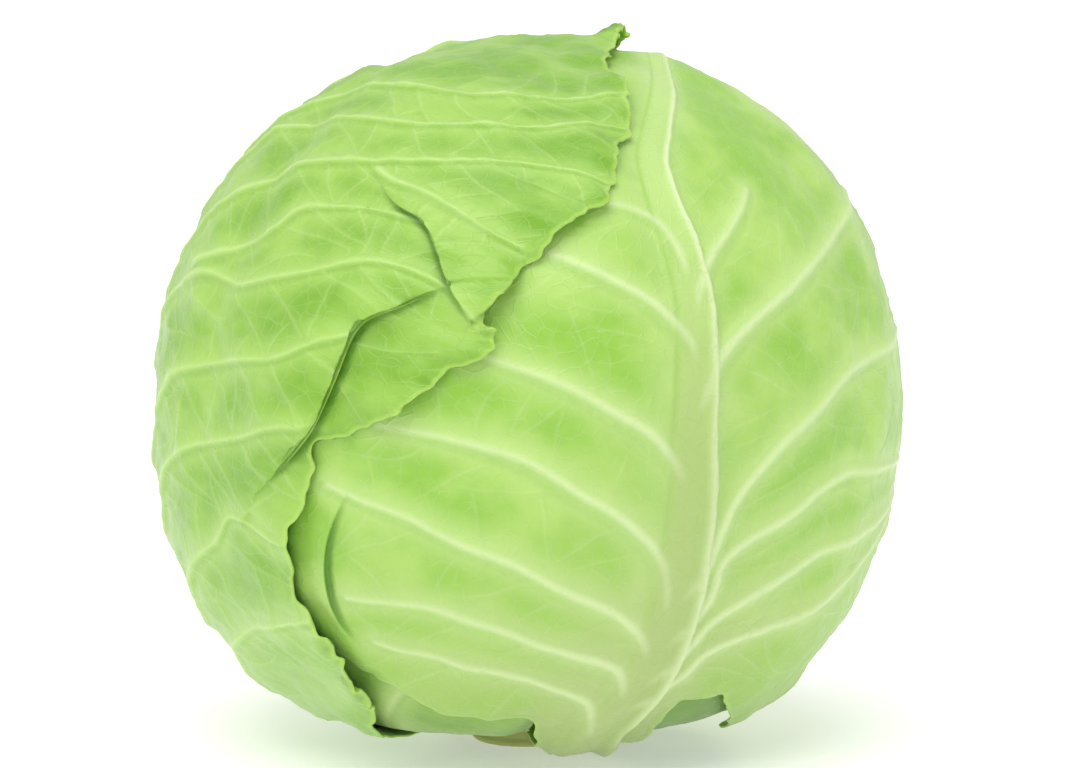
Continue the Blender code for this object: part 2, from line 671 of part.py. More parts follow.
def main():
    for old in list(bpy.data.objects):
        bpy.data.objects.remove(old)
    outer = material("outer_leaf", (0.37, 0.62, 0.13), 0.45)
    pale = material("front_leaf", (0.47, 0.64, 0.22), 0.42)
    inner = material("inner_leaf", (0.50, 0.62, 0.24), 0.45)
    flesh = material("stump_flesh", (0.72, 0.70, 0.48), 0.6)
    finishes = {"leaf_left": outer, "leaf_front": pale, "leaf_back": outer}
    blades = [(leaf.name, *leaf.mesh()) for leaf in wrapped_leaves()]
    cut = min(corners[:, 2].min() for _, corners, _ in blades) - STUMP_PROUD
    for name, corners, faces in blades:
        add_object(name, corners, faces, finishes.get(name, inner), cut)
    add_object("heart", *heart_mesh(), inner, cut)
    add_object("stump", *stump_mesh(cut), flesh, cut)


main()
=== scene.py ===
# %% [markdown]
# # A head of green cabbage
#
# A cabbage is a short stem with leaves wound tightly round it. Each leaf has a thick pale
# midrib, side veins that curve away from it, and a net of finer veins between them. The frame
# already holds every leaf as a plain solid, and this script gives each one its fine surface.

# %% Load the frame
import math

import bmesh
import bpy
import numpy as np
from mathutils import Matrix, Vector
from mathutils.geometry import delaunay_2d_cdt
from mathutils.kdtree import KDTree


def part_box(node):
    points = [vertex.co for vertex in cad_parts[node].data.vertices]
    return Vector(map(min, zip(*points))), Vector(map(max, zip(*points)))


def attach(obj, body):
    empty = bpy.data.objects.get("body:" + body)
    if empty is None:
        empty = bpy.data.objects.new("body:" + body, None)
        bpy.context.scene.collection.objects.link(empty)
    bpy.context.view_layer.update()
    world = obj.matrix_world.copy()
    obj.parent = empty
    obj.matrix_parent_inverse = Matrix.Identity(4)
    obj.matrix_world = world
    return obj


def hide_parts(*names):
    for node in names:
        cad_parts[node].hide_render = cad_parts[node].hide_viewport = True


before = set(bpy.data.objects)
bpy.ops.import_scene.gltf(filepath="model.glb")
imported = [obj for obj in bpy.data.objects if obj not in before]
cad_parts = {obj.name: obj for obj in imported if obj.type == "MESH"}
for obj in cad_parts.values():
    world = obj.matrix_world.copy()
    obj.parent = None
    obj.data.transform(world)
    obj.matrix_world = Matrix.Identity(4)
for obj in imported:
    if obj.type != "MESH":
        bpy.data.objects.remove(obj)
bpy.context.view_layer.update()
print("frame nodes:", ", ".join(sorted(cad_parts)))

# %% [markdown]
# ## Colours and nodes
#
# Colours are written as the sRGB hex values that a paint program shows. Blender's sockets take
# linear light, so one function turns them over. Small functions add a node, start a material
# and put an object into the scene.


# %% Colour and node helpers
def colour(code):
    """Linear RGBA of an sRGB hex code such as '#9CC250'."""
    parts = [int(code[i : i + 2], 16) / 255 for i in (1, 3, 5)]
    return (*((p / 12.92 if p <= 0.04045 else ((p + 0.055) / 1.055) ** 2.4) for p in parts), 1.0)


def fill(tree, node, inputs):
    """Gives inputs of a node their values, and links those whose value is a socket."""
    for name, value in inputs.items():
        if isinstance(value, bpy.types.NodeSocket):
            tree.links.new(value, node.inputs[name])
        else:
            node.inputs[name].default_value = value


def add(tree, kind, settings, inputs):
    """A new node with its settings, its input values and the links into it."""
    node = tree.nodes.new(kind)
    for name, value in settings.items():
        setattr(node, name, value)
    fill(tree, node, inputs)
    return node


def new_material(name):
    """A new material, its node tree and its shader."""
    made = bpy.data.materials.new(name)
    made.use_nodes = True
    return made, made.node_tree, made.node_tree.nodes["Principled BSDF"]


def placed(name, data):
    """A new object that stands in the scene."""
    thing = bpy.data.objects.new(name, data)
    bpy.context.scene.collection.objects.link(thing)
    return thing


SMOOTH = {"interpolation_type": "SMOOTHSTEP"}
TIMES = {"operation": "MULTIPLY"}
TIMES_PLUS = {"operation": "MULTIPLY_ADD"}
BLEND = {"data_type": "RGBA"}
VECTORS = {"data_type": "FLOAT_VECTOR"}
print("leaf green", [round(c, 3) for c in colour("#9CC250")])

# %% [markdown]
# ## The form of the head
#
# All leaves lie on one round body, so each is built outwards from it. Its radius in every
# direction is a superellipse, rounder or squarer than a ball by one power, with a flat below.
# Sizes are in millimetres from the middle of the head until a mesh is made.

# %% Head form
HEAD_WIDTH = 180.0
HEAD_ABOVE = 87.0
HEAD_BELOW = 90.0
HEAD_FLAT = 81.6
FULLNESS_ABOVE = 2.04
FULLNESS_BELOW = 2.3
FLAT_CORNER = 30
# Azimuth, latitude, reach in degrees and height of fuller places
BULGES = [(92, 42, 16, 1.2), (-95, -28, 26, 1.8), (-45, -60, 16, 1.2), (60, -62, 18, 1.5)]
HEART_DEPTH = 6.5
HEART_GROOVE = 1.6
HEART_AIR = 1.0
EYE_DISTANCE = 1200.0
EYE_ELEVATION = 7.0


def smoothstep(x):
    x = np.clip(x, 0.0, 1.0)
    return x * x * (3.0 - 2.0 * x)


def globe(points):
    """Unit directions of (azimuth, latitude) points in degrees."""
    azimuth, latitude = np.radians(np.array(points, float)).T
    level = np.cos(latitude)
    return np.stack([np.sin(azimuth) * level, -np.cos(azimuth) * level, np.sin(latitude)], axis=1)


def head_radius(directions):
    """Distance from the middle of the head to its outer form."""
    level = np.hypot(directions[:, 0], directions[:, 1]) / (HEAD_WIDTH / 2)
    above = directions[:, 2] >= 0
    height = np.abs(directions[:, 2]) / np.where(above, HEAD_ABOVE, HEAD_BELOW)
    power = np.where(above, FULLNESS_ABOVE, FULLNESS_BELOW)
    radius = (level**power + height**power) ** (-1.0 / power)
    flat = HEAD_FLAT / np.maximum(-directions[:, 2], 0.01)
    radius = (radius**-FLAT_CORNER + flat**-FLAT_CORNER) ** (-1.0 / FLAT_CORNER)
    for azimuth, latitude, reach, rise in BULGES:
        angle = np.degrees(np.arccos(np.clip(directions @ globe([(azimuth, latitude)])[0], -1, 1)))
        radius = radius + rise * np.exp(-((angle / reach) ** 2))
    return radius


def heart_radius(directions):
    return head_radius(directions) - HEART_DEPTH


def front(points):
    """Unit directions of the places on the head seen (right, up) of its middle from the front."""
    points = np.array(points, float)
    tilt = math.radians(EYE_ELEVATION)
    eye = EYE_DISTANCE * np.array([0.0, -math.cos(tilt), math.sin(tilt)])
    up = np.array([0.0, math.sin(tilt), math.cos(tilt)])
    ray = points[:, :1] * np.array([1.0, 0.0, 0.0]) + points[:, 1:] * up - eye
    ray /= np.linalg.norm(ray, axis=1, keepdims=True)
    nearest = -(ray @ eye)
    radius = np.full(len(points), HEAD_WIDTH / 2)
    for _ in range(6):
        miss = radius**2 - (eye @ eye - nearest**2)
        hit = eye + ray * (nearest - np.sqrt(np.maximum(miss, 0.0)))[:, None]
        found = hit / np.linalg.norm(hit, axis=1, keepdims=True)
        radius = head_radius(found)
    return found


AIR = 1.1
stump_top = -heart_radius(globe([(0, -90)]))[0] - AIR
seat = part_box("stump")[1][2] * 1000 - stump_top
print("middle of the head above its cut face:", round(seat, 2), "mm")

# %% [markdown]
# ## Curves on a flat map
#
# A leaf is easiest to draw flat, as on a globe maker's paper: its outline and veins are curves
# in a plane that is later laid on the head. The helpers smooth a curve, point to its side,
# measure the distance to it, and tell which points lie within an outline.


# %% Curve helpers
def smooth_path(points, step, closed=False, rounding=3.0):
    """A smooth curve along the points, as points about a step apart."""
    points = np.array(points, float)
    if closed:
        points = np.concatenate([points, points[:1]])
    along = np.concatenate([[0.0], np.cumsum(np.linalg.norm(np.diff(points, axis=0), axis=1))])
    count = max(4, round(along[-1]))
    even = np.linspace(0, along[-1], count + 1)
    fine = np.stack([np.interp(even, along, c) for c in points.T], axis=1)
    reach = min(int(3 * rounding), count // 2)
    if closed:
        fine = fine[:-1]
        padded = np.concatenate([fine[-reach:], fine, fine[:reach]])
    else:
        head = 2 * fine[:1] - fine[reach:0:-1]
        tail = 2 * fine[-1:] - fine[-2 : -reach - 2 : -1]
        padded = np.concatenate([head, fine, tail])
    weights = np.exp(-0.5 * (np.arange(-reach, reach + 1) / rounding) ** 2)
    weights /= weights.sum()
    smooth = np.stack([np.convolve(c, weights, mode="valid") for c in padded.T], axis=1)
    if closed:
        smooth = np.concatenate([smooth, smooth[:1]])
    along = np.concatenate([[0.0], np.cumsum(np.linalg.norm(np.diff(smooth, axis=0), axis=1))])
    stations = np.linspace(0, along[-1], max(3, round(along[-1] / step)) + 1)
    if closed:
        stations = stations[:-1]
    return np.stack([np.interp(stations, along, c) for c in smooth.T], axis=1)


def lined_up(path, step):
    """Points along a path, and the unit vectors to its left at each."""
    centre = smooth_path(path, step, rounding=0.6)
    tangent = np.gradient(centre, axis=0)
    tangent /= np.linalg.norm(tangent, axis=1, keepdims=True)
    return centre, np.stack([-tangent[:, 1], tangent[:, 0]], axis=1)


def nearest_on_path(points, path, closed=False):
    """Distance to a path, the share of its length at the nearest place, and the side, 1 or -1."""
    start, end = path, np.roll(path, -1, axis=0)
    if not closed:
        start, end = start[:-1], end[:-1]
    along = end - start
    length = np.maximum(np.linalg.norm(along, axis=1), 1e-9)
    before = np.concatenate([[0.0], np.cumsum(length)[:-1]])
    best = np.full(len(points), np.inf)
    share = np.zeros(len(points))
    side = np.ones(len(points))
    for a, d, size, done in zip(start, along, length, before):
        offset = points - a
        t = np.clip(offset @ d / size**2, 0.0, 1.0)
        distance = np.hypot(offset[:, 0] - t * d[0], offset[:, 1] - t * d[1])
        closer = np.flatnonzero(distance < best)
        best[closer] = distance[closer]
        share[closer] = done + t[closer] * size
        side[closer] = np.sign(d[0] * offset[closer, 1] - d[1] * offset[closer, 0] + 1e-12)
    return best, share / length.sum(), side


def inside(points, outline):
    """True for the points within a closed outline."""
    order = np.argsort(points[:, 1])
    across, up = points[order].T
    within = np.zeros(len(points), bool)
    for a, b in zip(outline, np.roll(outline, -1, axis=0)):
        if a[1] == b[1]:
            continue
        span = slice(*np.searchsorted(up, (min(a[1], b[1]), max(a[1], b[1]))))
        crossing = a[0] + (up[span] - a[1]) / (b[1] - a[1]) * (b[0] - a[0])
        within[order[span]] ^= across[span] < crossing
    return within


# %% [markdown]
# ## Veins
#
# A vein is a path with a rounded ridge along it. The ridge tapers to the vein's tip, and it is
# paler than the lamina because it holds little leaf green. The flesh beside a vein is thick
# too, so the pale colour fades out softly over a few millimetres.

# %% Vein class
# A big midrib in shares of its half width: the keel on its right, the groove on its left
KEEL_AT, KEEL_WIDTH = -0.64, 0.16
GROOVE_AT, GROOVE_WIDTH = 0.66, 0.15
TWIG_STEP = 1.6
TWIG_LOOK = {"core": (0.75, 0.5), "glow": 0.3}


class Vein:
    """A ridge along a path, with half widths and heights at its root and its tip.

    pale is how white its core is, core the half width of that core in mm, and glow how much of
    it spreads into the lamina. A keeled vein is a flat band with a sharp pale keel, partly its
    own colour and partly a painted highlight, and a groove darkened with painted shade.
    """

    def __init__(
        self, path, widths, heights, crest=0.0, pale=1.0, core=(1.5, 0.8), glow=0.5, keeled=False
    ):
        self.path = path
        self.widths = widths
        self.heights = heights
        self.crest = crest
        self.pale = pale
        self.core = core
        self.glow = glow
        self.keeled = keeled
        self.length = np.linalg.norm(np.diff(path, axis=0), axis=1).sum()
        self.lower_side = 1 if path[-1, 0] < path[0, 0] else -1

    def half_width(self, share):
        return self.widths[0] + (self.widths[1] - self.widths[0]) * share

    def fields(self, points):
        """Height of the ridge, paleness, painted shade and distance for the points, in that order."""
        distance, share, side = nearest_on_path(points, self.path)
        width = self.half_width(share)
        height = self.heights[0] + (self.heights[1] - self.heights[0]) * share
        if self.keeled:
            return *self.keel_fields(side * distance / width, height), distance
        lateral = side * distance / width - self.crest
        lateral = np.where(lateral > 0, lateral / (1 - self.crest), lateral / (1 + self.crest))
        # Each starts low on its parent and rises out of it
        start = smoothstep(share * self.length / (2.4 * self.widths[0]))
        ridge = height * start * np.clip(1 - lateral**2, 0, 1) ** 1.5
        core = self.core[0] + (self.core[1] - self.core[0]) * share
        inner = np.exp(-((distance / core) ** 2))
        halo = self.glow * np.exp(-((distance / (2.3 * core + 2.0)) ** 1.6))
        # Painted shade: the lamina just below each vein is darker, as under a ridge lit from above
        below = (side == self.lower_side) * np.exp(-(((distance - 1.8 * core) / (1.6 * core)) ** 2))
        fade = self.pale * start * (1 - 0.3 * share)
        return ridge, fade * np.maximum(inner, halo), self.pale * start * below, distance

    def keel_fields(self, lateral, height):
        # Painted light: the keel's pale line is partly a painted highlight, and the groove gets painted
        # shade and is less pale
        band = smoothstep((1.0 - np.abs(lateral)) / 0.3)
        keel = np.exp(-(((lateral - KEEL_AT) / KEEL_WIDTH) ** 2))
        groove = np.exp(-(((lateral - GROOVE_AT) / GROOVE_WIDTH) ** 2))
        halo = self.glow * np.exp(-((lateral / 1.7) ** 4))
        ridge = height * (0.46 * band + 0.5 * keel - 0.2 * groove)
        pale = np.maximum(self.pale * keel, np.maximum(0.1 * band, halo) * (1 - 0.45 * groove))
        return ridge, pale, 0.75 * groove


def grown_veins(leaf, parents, spacing, angle, longest, widths, heights, pale):
    """Finer veins that branch off both sides of the parents and stop where they meet another."""
    taken = np.concatenate([smooth_path(vein.path, 1.2, rounding=0.5) for vein in leaf.veins])
    rim = smooth_path(leaf.drawn, 0.9, closed=True, rounding=2.2)
    grown = []
    for parent in parents:
        steps = np.linalg.norm(np.diff(parent.path, axis=0), axis=1)
        length = np.concatenate([[0.0], np.cumsum(steps)])
        for side in (1, -1):
            at = spacing * leaf.random.uniform(0.3, 0.9)
            while at < length[-1] - 2:
                i = int(np.searchsorted(length, at)) - 1
                along = (parent.path[i + 1] - parent.path[i]) / steps[i]
                place = parent.path[i] + along * (at - length[i])
                heading = math.atan2(along[1], along[0])
                heading += side * math.radians(angle + leaf.random.uniform(-14, 14))
                bend = leaf.random.uniform(-2.5, 2.5)
                path = [place]
                own = parent.half_width(at / length[-1]) + TWIG_STEP
                for _ in range(int(longest / TWIG_STEP)):
                    heading += math.radians(bend + leaf.random.uniform(-7, 7))
                    place = place + TWIG_STEP * np.array([math.cos(heading), math.sin(heading)])
                    gap = np.hypot(taken[:, 0] - place[0], taken[:, 1] - place[1])
                    path.append(place)
                    started = np.hypot(*(place - path[0])) > own
                    edge = np.hypot(rim[:, 0] - place[0], rim[:, 1] - place[1]).min()
                    if edge < 2.0 or (started and gap.min() < 1.3):
                        break
                if len(path) > 4:
                    grown.append(Vein(np.array(path), widths, heights, pale=pale, **TWIG_LOOK))
                    taken = np.concatenate([taken, path[2:]])
                at += spacing * leaf.random.uniform(0.7, 1.4)
    return grown


# %% [markdown]
# ## Leaves
#
# A leaf knows its outline on the map and where the map lies on the head. Its inner face rests
# on the heart and on every leaf below it. Its outer face stands a blade's thickness higher,
# with the veins on top. Edges ruffle, curl and fold, all outwards, so leaves never cross.

# %% Leaf class
BLADE = 0.8
FEATHER = 14.0
COVERED_RELIEF = 0.04
EDGE_STEP = 5.0
FOLD_STEP = 1.8
CURL_DEPTH = 4.5
# A curl higher than this is a dark tuft, darkened with painted shade
TUFT_HEIGHT = 3.0
# Fine frills of the edge: how far they reach in and out, and how far in they lift the blade
TOOTH_DEPTH = 0.5
FRILL_DEPTH = 0.7
FLUTTER_LIFT = 0.35
FLUTTER_REACH = 3.0
FRILL_REACH = 4.5
# Shares round the outline of the waves in it, the ruffles behind it and the teeth on it
WAVE_COUNTS = (1.0, 0.62, 0.37)
RUFFLE_COUNTS = (0.55, 0.33, 0.19)
TOOTH_COUNTS = (1.3, 1.9, 2.7)
# The blade is drawn thicker inwards than the solid, and thins out at its edge
FULL_BLADE = 1.55
EDGE_BLADE = 0.5
EDGE_TAPER = 5.0
# Rows of points along veins, in mm from the crest
VEIN_ROWS = (0, 0.7, -0.7, 1.5, -1.5)
TWIG_ROWS = (0, 0.6, -0.6)
KEEL_ROWS = (0, 0.6, -0.6, 1.2, -1.2, 2.0, -2.0)
GROOVE_ROWS = (0, 0.7, -0.7, 1.4, -1.4)
FOLD_ROWS = (0, 0.45, -0.45, 0.9, -0.9, 1.5, -1.5, 2.2, -2.2)
# How far a lap slides over, for each millimetre that it stands up
OVERHANG = 1.1
# Distances between the mesh's points: over the blade, along veins, and at edges and folds
COARSE = 1.5
ALONG_VEIN = 1.3
FINE = 0.75
ROW_GAP = 0.42
CHART_STEP = 2.5
ROOT = -79.2
INNER_ROOT = -78.0


class Fold:
    """A lap in a blade: one side of its path stands up, overhangs, and dies away from it."""

    def __init__(self, path, height, reach, side):
        self.path = path
        self.height = height
        self.reach = reach
        self.side = side

    def fields(self, points):
        """Lift, sideways slide and the shade in the crease for the points."""
        distance, share, side = nearest_on_path(points, self.path)
        strength = np.sin(math.pi * np.clip(share, 0.02, 0.98)) ** 0.5
        on_lap = np.exp(-((distance / self.reach) ** 2))
        beside = smoothstep(1 - distance / FOLD_STEP)
        lift = self.height * strength * np.where(side == self.side, on_lap, beside)
        where = np.searchsorted(np.linspace(0, 1, len(self.path)), share) - 1
        where = np.clip(where, 0, len(self.path) - 2)
        along = self.path[where + 1] - self.path[where]
        along /= np.linalg.norm(along, axis=1, keepdims=True)
        outward = np.stack([along[:, 1], -along[:, 0]], axis=1) * self.side
        over = np.where(side == self.side, np.exp(-((distance / 4.0) ** 2)), beside**2)
        slide = outward * (OVERHANG * self.height * strength * over)[:, None]
        # Painted shade on the low side of the lap, just beyond where the lap hides it
        hidden = OVERHANG * self.height * strength
        crease = strength * np.where(side == self.side, 0, smoothstep(1 - (distance - hidden) / 2.4))
        return lift, slide, crease


class Leaf:
    """One leaf. Its outline and veins lie in a flat map, measured out from the leaf's own centre."""

    def __init__(self, name, centre, outline, wave, seed):
        self.name = name
        self.middle = globe([centre])[0]
        self.east = np.cross([0.0, 0.0, 1.0], self.middle)
        self.east /= np.linalg.norm(self.east)
        self.north = np.cross(self.middle, self.east)
        self.drawn = self.flat(outline)
        self.outline = smooth_path(self.drawn, EDGE_STEP, closed=True, rounding=2.2)
        self.wave = wave
        self.random = np.random.default_rng(seed)
        count = len(self.outline) * EDGE_STEP / wave["length"]
        self.ripples, self.ruffles, self.teeth = (
            [(round(count * f), self.random.uniform(0, 2 * math.pi)) for f in counts]
            for counts in (WAVE_COUNTS, RUFFLE_COUNTS, TOOTH_COUNTS)
        )
        self.veins, self.folds, self.curls, self.crimps = [], [], [], []
        self.beneath, self.above = [], []
        self.chart = np.arange(-290.0, 291.0, CHART_STEP)
        grid = np.stack(np.meshgrid(self.chart, self.chart), axis=-1).reshape(-1, 2)
        self.depths = self.exact_depth(grid).reshape(len(self.chart), -1)

    def flat(self, directions):
        """Places on the map, in millimetres along the head's surface from the leaf's centre."""
        angle = np.arccos(np.clip(directions @ self.middle, -1, 1))
        scale = HEAD_WIDTH / 2 * angle / np.maximum(np.sin(angle), 1e-9)
        return np.stack([directions @ self.east, directions @ self.north], axis=1) * scale[:, None]

    def raised(self, points):
        """The directions from the head's middle of places on the map."""
        distance = np.maximum(np.linalg.norm(points, axis=1), 1e-9)
        angle = (distance / (HEAD_WIDTH / 2))[:, None]
        sideways = (points[:, :1] * self.east + points[:, 1:] * self.north) / distance[:, None]
        return self.middle * np.cos(angle) + sideways * np.sin(angle)

    def exact_depth(self, points):
        distance, _, _ = nearest_on_path(points, self.outline, closed=True)
        return np.where(inside(points, self.outline), distance, -distance)

    def depth(self, points):
        """Distance inside the outline, negative outside it, read between the points of a chart."""
        at = np.clip((points - self.chart[0]) / CHART_STEP, 0, len(self.chart) - 1.001)
        x, y = at.astype(int).T
        u, v = (at - at.astype(int)).T
        low = self.depths[y, x] * (1 - u) + self.depths[y, x + 1] * u
        high = self.depths[y + 1, x] * (1 - u) + self.depths[y + 1, x + 1] * u
        return low * (1 - v) + high * v

    def cover(self, directions, feather=FEATHER, spread=6.0):
        """1 where this leaf lies and just round it, falling to 0 a feather's width further out."""
        return smoothstep((self.depth(self.flat(directions)) + spread + feather) / feather)

    def add_vein(self, directions, widths, heights, crest=0.0, rooted=False, onward=False, **look):
        path = self.flat(directions)
        if rooted:
            path = np.concatenate([self.root_of(path[0])[None], path])
        # A vein drawn only as far as the picture shows it runs on towards the edge
        ahead = 5 * (path[-1] - path[-2]) / np.linalg.norm(path[-1] - path[-2])
        while onward and self.depth((path[-1] + ahead)[None])[0] > 5:
            path = np.concatenate([path, (path[-1] + ahead)[None]])
        self.veins.append(Vein(smooth_path(path, 2.0), widths, heights, crest, **look))

    def root_of(self, place):
        """Where a side vein seen from here on leaves the midrib: lower down, so that it slants."""
        rib = smooth_path(self.veins[0].path, 4.0)
        distance = np.linalg.norm(rib - place, axis=1)
        nearest = int(np.argmin(distance))
        lower = nearest - round((7 + 0.8 * distance[nearest]) / np.linalg.norm(rib[1] - rib[0]))
        return rib[max(lower, 2)]

    def add_side_veins(self, count, first, last, widths, heights, sides=(1, -1), **look):
        """Side veins that leave the midrib, the first vein, and curve out to the edge."""
        rib = smooth_path(self.veins[0].path, 4.0)
        for number in range(count):
            for side in sides:
                share = first + (last - first) * (number + (0.25 if side > 0 else 0.0)) / (count - 0.5)
                at = int(share * (len(rib) - 2))
                heading = math.atan2(*(rib[at + 1] - rib[at])[::-1]) + side * math.radians(34)
                place = rib[at].copy()
                path = [place.copy()]
                for _ in range(40):
                    heading += side * math.radians(2.2)
                    place += 6.0 * np.array([math.cos(heading), math.sin(heading)])
                    if self.depth(place[None])[0] < 5.0:
                        break
                    path.append(place.copy())
                if len(path) > 3:
                    fade = 1.0 - 0.35 * share
                    widths_here = (widths[0] * fade, widths[1])
                    heights_here = (heights[0] * fade, heights[1])
                    self.veins.append(Vein(smooth_path(path, 2.0), widths_here, heights_here, **look))

    def add_curls(self, curls):
        """Places on the edge that stand up: each a direction, a height and a reach."""
        for direction, height, reach in curls:
            self.curls.append((self.flat(direction)[0], height, reach))

    def add_crimps(self, crimps):
        """Tightly frilled places on the edge: direction, reach, rise and wavelength."""
        for direction, reach, rise, length in crimps:
            self.crimps.append((self.flat(direction)[0], reach, rise, length))

    def crimped(self, points, along):
        """Frill over the points, from -1 to 1, times its rise; along is the way round in mm."""
        total = np.zeros(len(points))
        for place, reach, rise, length in self.crimps:
            away = np.linalg.norm(points - place, axis=1) / reach
            turn = 2 * math.pi * along / length
            frill = np.sin(turn) + 0.5 * np.sin(turn / 0.61 + 1)
            total += rise * np.exp(-(away**2)) * frill / 1.5
        return total

    def waved_outline(self):
        """The outline with its waves and fine teeth, flat to the stump at the leaf's root."""
        outline = smooth_path(self.drawn, 0.9, closed=True, rounding=2.2)
        turn = 2 * math.pi * np.arange(len(outline)) / len(outline)
        tangent = np.roll(outline, -1, axis=0) - np.roll(outline, 1, axis=0)
        tangent /= np.linalg.norm(tangent, axis=1, keepdims=True)
        normal = np.stack([tangent[:, 1], -tangent[:, 0]], axis=1)
        out = self.wave["depth"] * beat(self.ripples, turn) + TOOTH_DEPTH * beat(self.teeth, turn)
        out += FRILL_DEPTH * self.crimped(outline, 0.9 * np.arange(len(outline)) + 2.0)
        free = smoothstep((self.raised(outline)[:, 2] + 0.95) / 0.1)
        return outline + normal * (out * free)[:, None]

    def map_points(self, outline):
        """Points all over the map: fine at the edge and folds, in rows along veins, and filling."""
        low, high = outline.min(axis=0), outline.max(axis=0)
        rim = KDTree(len(outline))
        for i, p in enumerate(outline):
            rim.insert((*p, 0), i)
        rim.balance()
        rows = []
        for lap in self.folds:
            centre, left = lined_up(lap.path, FINE)
            rows += [centre + left * offset for offset in FOLD_ROWS]
        for vein in self.veins:
            centre, left = lined_up(vein.path, ALONG_VEIN)
            if vein.keeled:
                width = vein.half_width(np.linspace(0, 1, len(centre)))[:, None]
                rows += [centre + left * (KEEL_AT * width + offset) for offset in KEEL_ROWS]
                rows += [centre + left * (GROOVE_AT * width + offset) for offset in GROOVE_ROWS]
            else:
                offsets = VEIN_ROWS if vein.widths[0] > 1.5 else TWIG_ROWS
                rows += [centre + left * offset for offset in offsets]
        rows = np.concatenate(rows)
        rows = rows[inside(rows, outline)]
        rows = rows[np.array([rim.find((*p, 0))[2] for p in rows]) > 0.5]
        near_rows = KDTree(len(rows))
        for i, p in enumerate(rows):
            near_rows.insert((*p, 0), i)
        near_rows.balance()
        apart = np.ones(len(rows), bool)
        for i, p in enumerate(rows):
            if apart[i]:
                for _, j, _ in near_rows.find_range((*p, 0), ROW_GAP):
                    apart[j] = j <= i
        kept = [rows[apart]]
        for step in (COARSE, FINE):
            across = np.arange(low[0], high[0], step)
            up = np.arange(low[1], high[1], step * 0.866)
            grid = np.stack(np.meshgrid(across, up), axis=-1)
            grid[1::2, :, 0] += step / 2
            grid = grid.reshape(-1, 2)
            grid = grid[inside(grid, outline)]
            edge = np.array([rim.find((*p, 0))[2] for p in grid])
            fold = np.full(len(grid), 99.0)
            for lap in self.folds:
                fold = np.minimum(fold, nearest_on_path(grid, lap.path)[0])
            fine = (edge < 3.0) | (fold < 5.0)
            keep = fine if step == FINE else ~fine
            grid, edge = grid[keep], edge[keep]
            room = np.array([near_rows.find((*p, 0))[2] for p in grid])
            kept.append(grid[(edge > 0.45 * step) & (room > 0.55 * step)])
        return np.concatenate([outline, *kept]), rim

    def shape(self):
        """The leaf's mesh and what its skin needs to know, all as arrays."""
        outline = self.waved_outline()
        points, rim = self.map_points(outline)
        made = delaunay_2d_cdt(
            [Vector(p) for p in points], [], [list(range(len(outline)))], 1, 1e-5, False
        )
        flat = np.array([tuple(p) for p in made[0]])
        faces = np.array([tuple(face) for face in made[2]])
        faces = faces[inside(flat[faces].mean(axis=1), outline)]
        directions = self.raised(flat)
        edge = np.array([rim.find((*p, 0))[2] for p in flat])
        height, pale, shade, near = self.vein_fields(flat)
        covered = max_cover(self.above, directions)
        lift, slide, crease = self.lifts(flat, directions, edge, covered)
        bottom = self.underside(directions) + lift - (FULL_BLADE - BLADE)
        blade = EDGE_BLADE + (FULL_BLADE - EDGE_BLADE) * smoothstep(edge / EDGE_TAPER)
        top = bottom + blade + height * (1 - (1 - COVERED_RELIEF) * covered)
        moved = self.raised(flat + slide)
        return {
            "corners": np.concatenate([moved * top[:, None], moved * bottom[:, None]]),
            "faces": closed_blade(faces, len(flat)),
            "map": np.concatenate([flat, flat]),
            "pale": np.concatenate([pale, 0.6 * pale]),
            "near": np.concatenate([near, near]),
            "far": np.tile(nearest_on_path(flat, self.veins[0].path)[0], 2),
            "edge": np.concatenate([edge, edge]),
            "crease": np.concatenate([crease, crease]),
            "shade": np.concatenate([shade, 0 * shade]),
            "skin": np.concatenate([(1 - covered) * smoothstep(edge / 3.0), np.zeros(len(flat))]),
        }

    def vein_fields(self, flat):
        height = np.zeros(len(flat))
        pale = np.zeros(len(flat))
        shade = np.zeros(len(flat))
        near = np.full(len(flat), 40.0)
        for number, vein in enumerate(self.veins):
            reach = 1.2 * vein.widths[0] + (16.0 if vein.widths[0] > 1.5 else 3.0)
            low, high = vein.path.min(axis=0) - reach, vein.path.max(axis=0) + reach
            chosen = np.flatnonzero(((flat > low) & (flat < high)).all(axis=1))
            if not len(chosen):
                continue
            ridge, light, dark, distance = vein.fields(flat[chosen])
            height[chosen] = np.maximum(height[chosen], ridge)
            pale[chosen] = np.maximum(pale[chosen], light)
            shade[chosen] = np.maximum(shade[chosen], dark)
            if vein.widths[0] > 1.5:
                near[chosen] = np.minimum(near[chosen], distance)
        return height, pale, shade, near

    def underside(self, directions):
        """Where the solid's inner face lies: on the heart and on every leaf beneath."""
        radius = heart_radius(directions) + HEART_AIR
        for leaf in self.beneath:
            radius = radius + (BLADE + AIR) * leaf.cover(directions)
        return radius

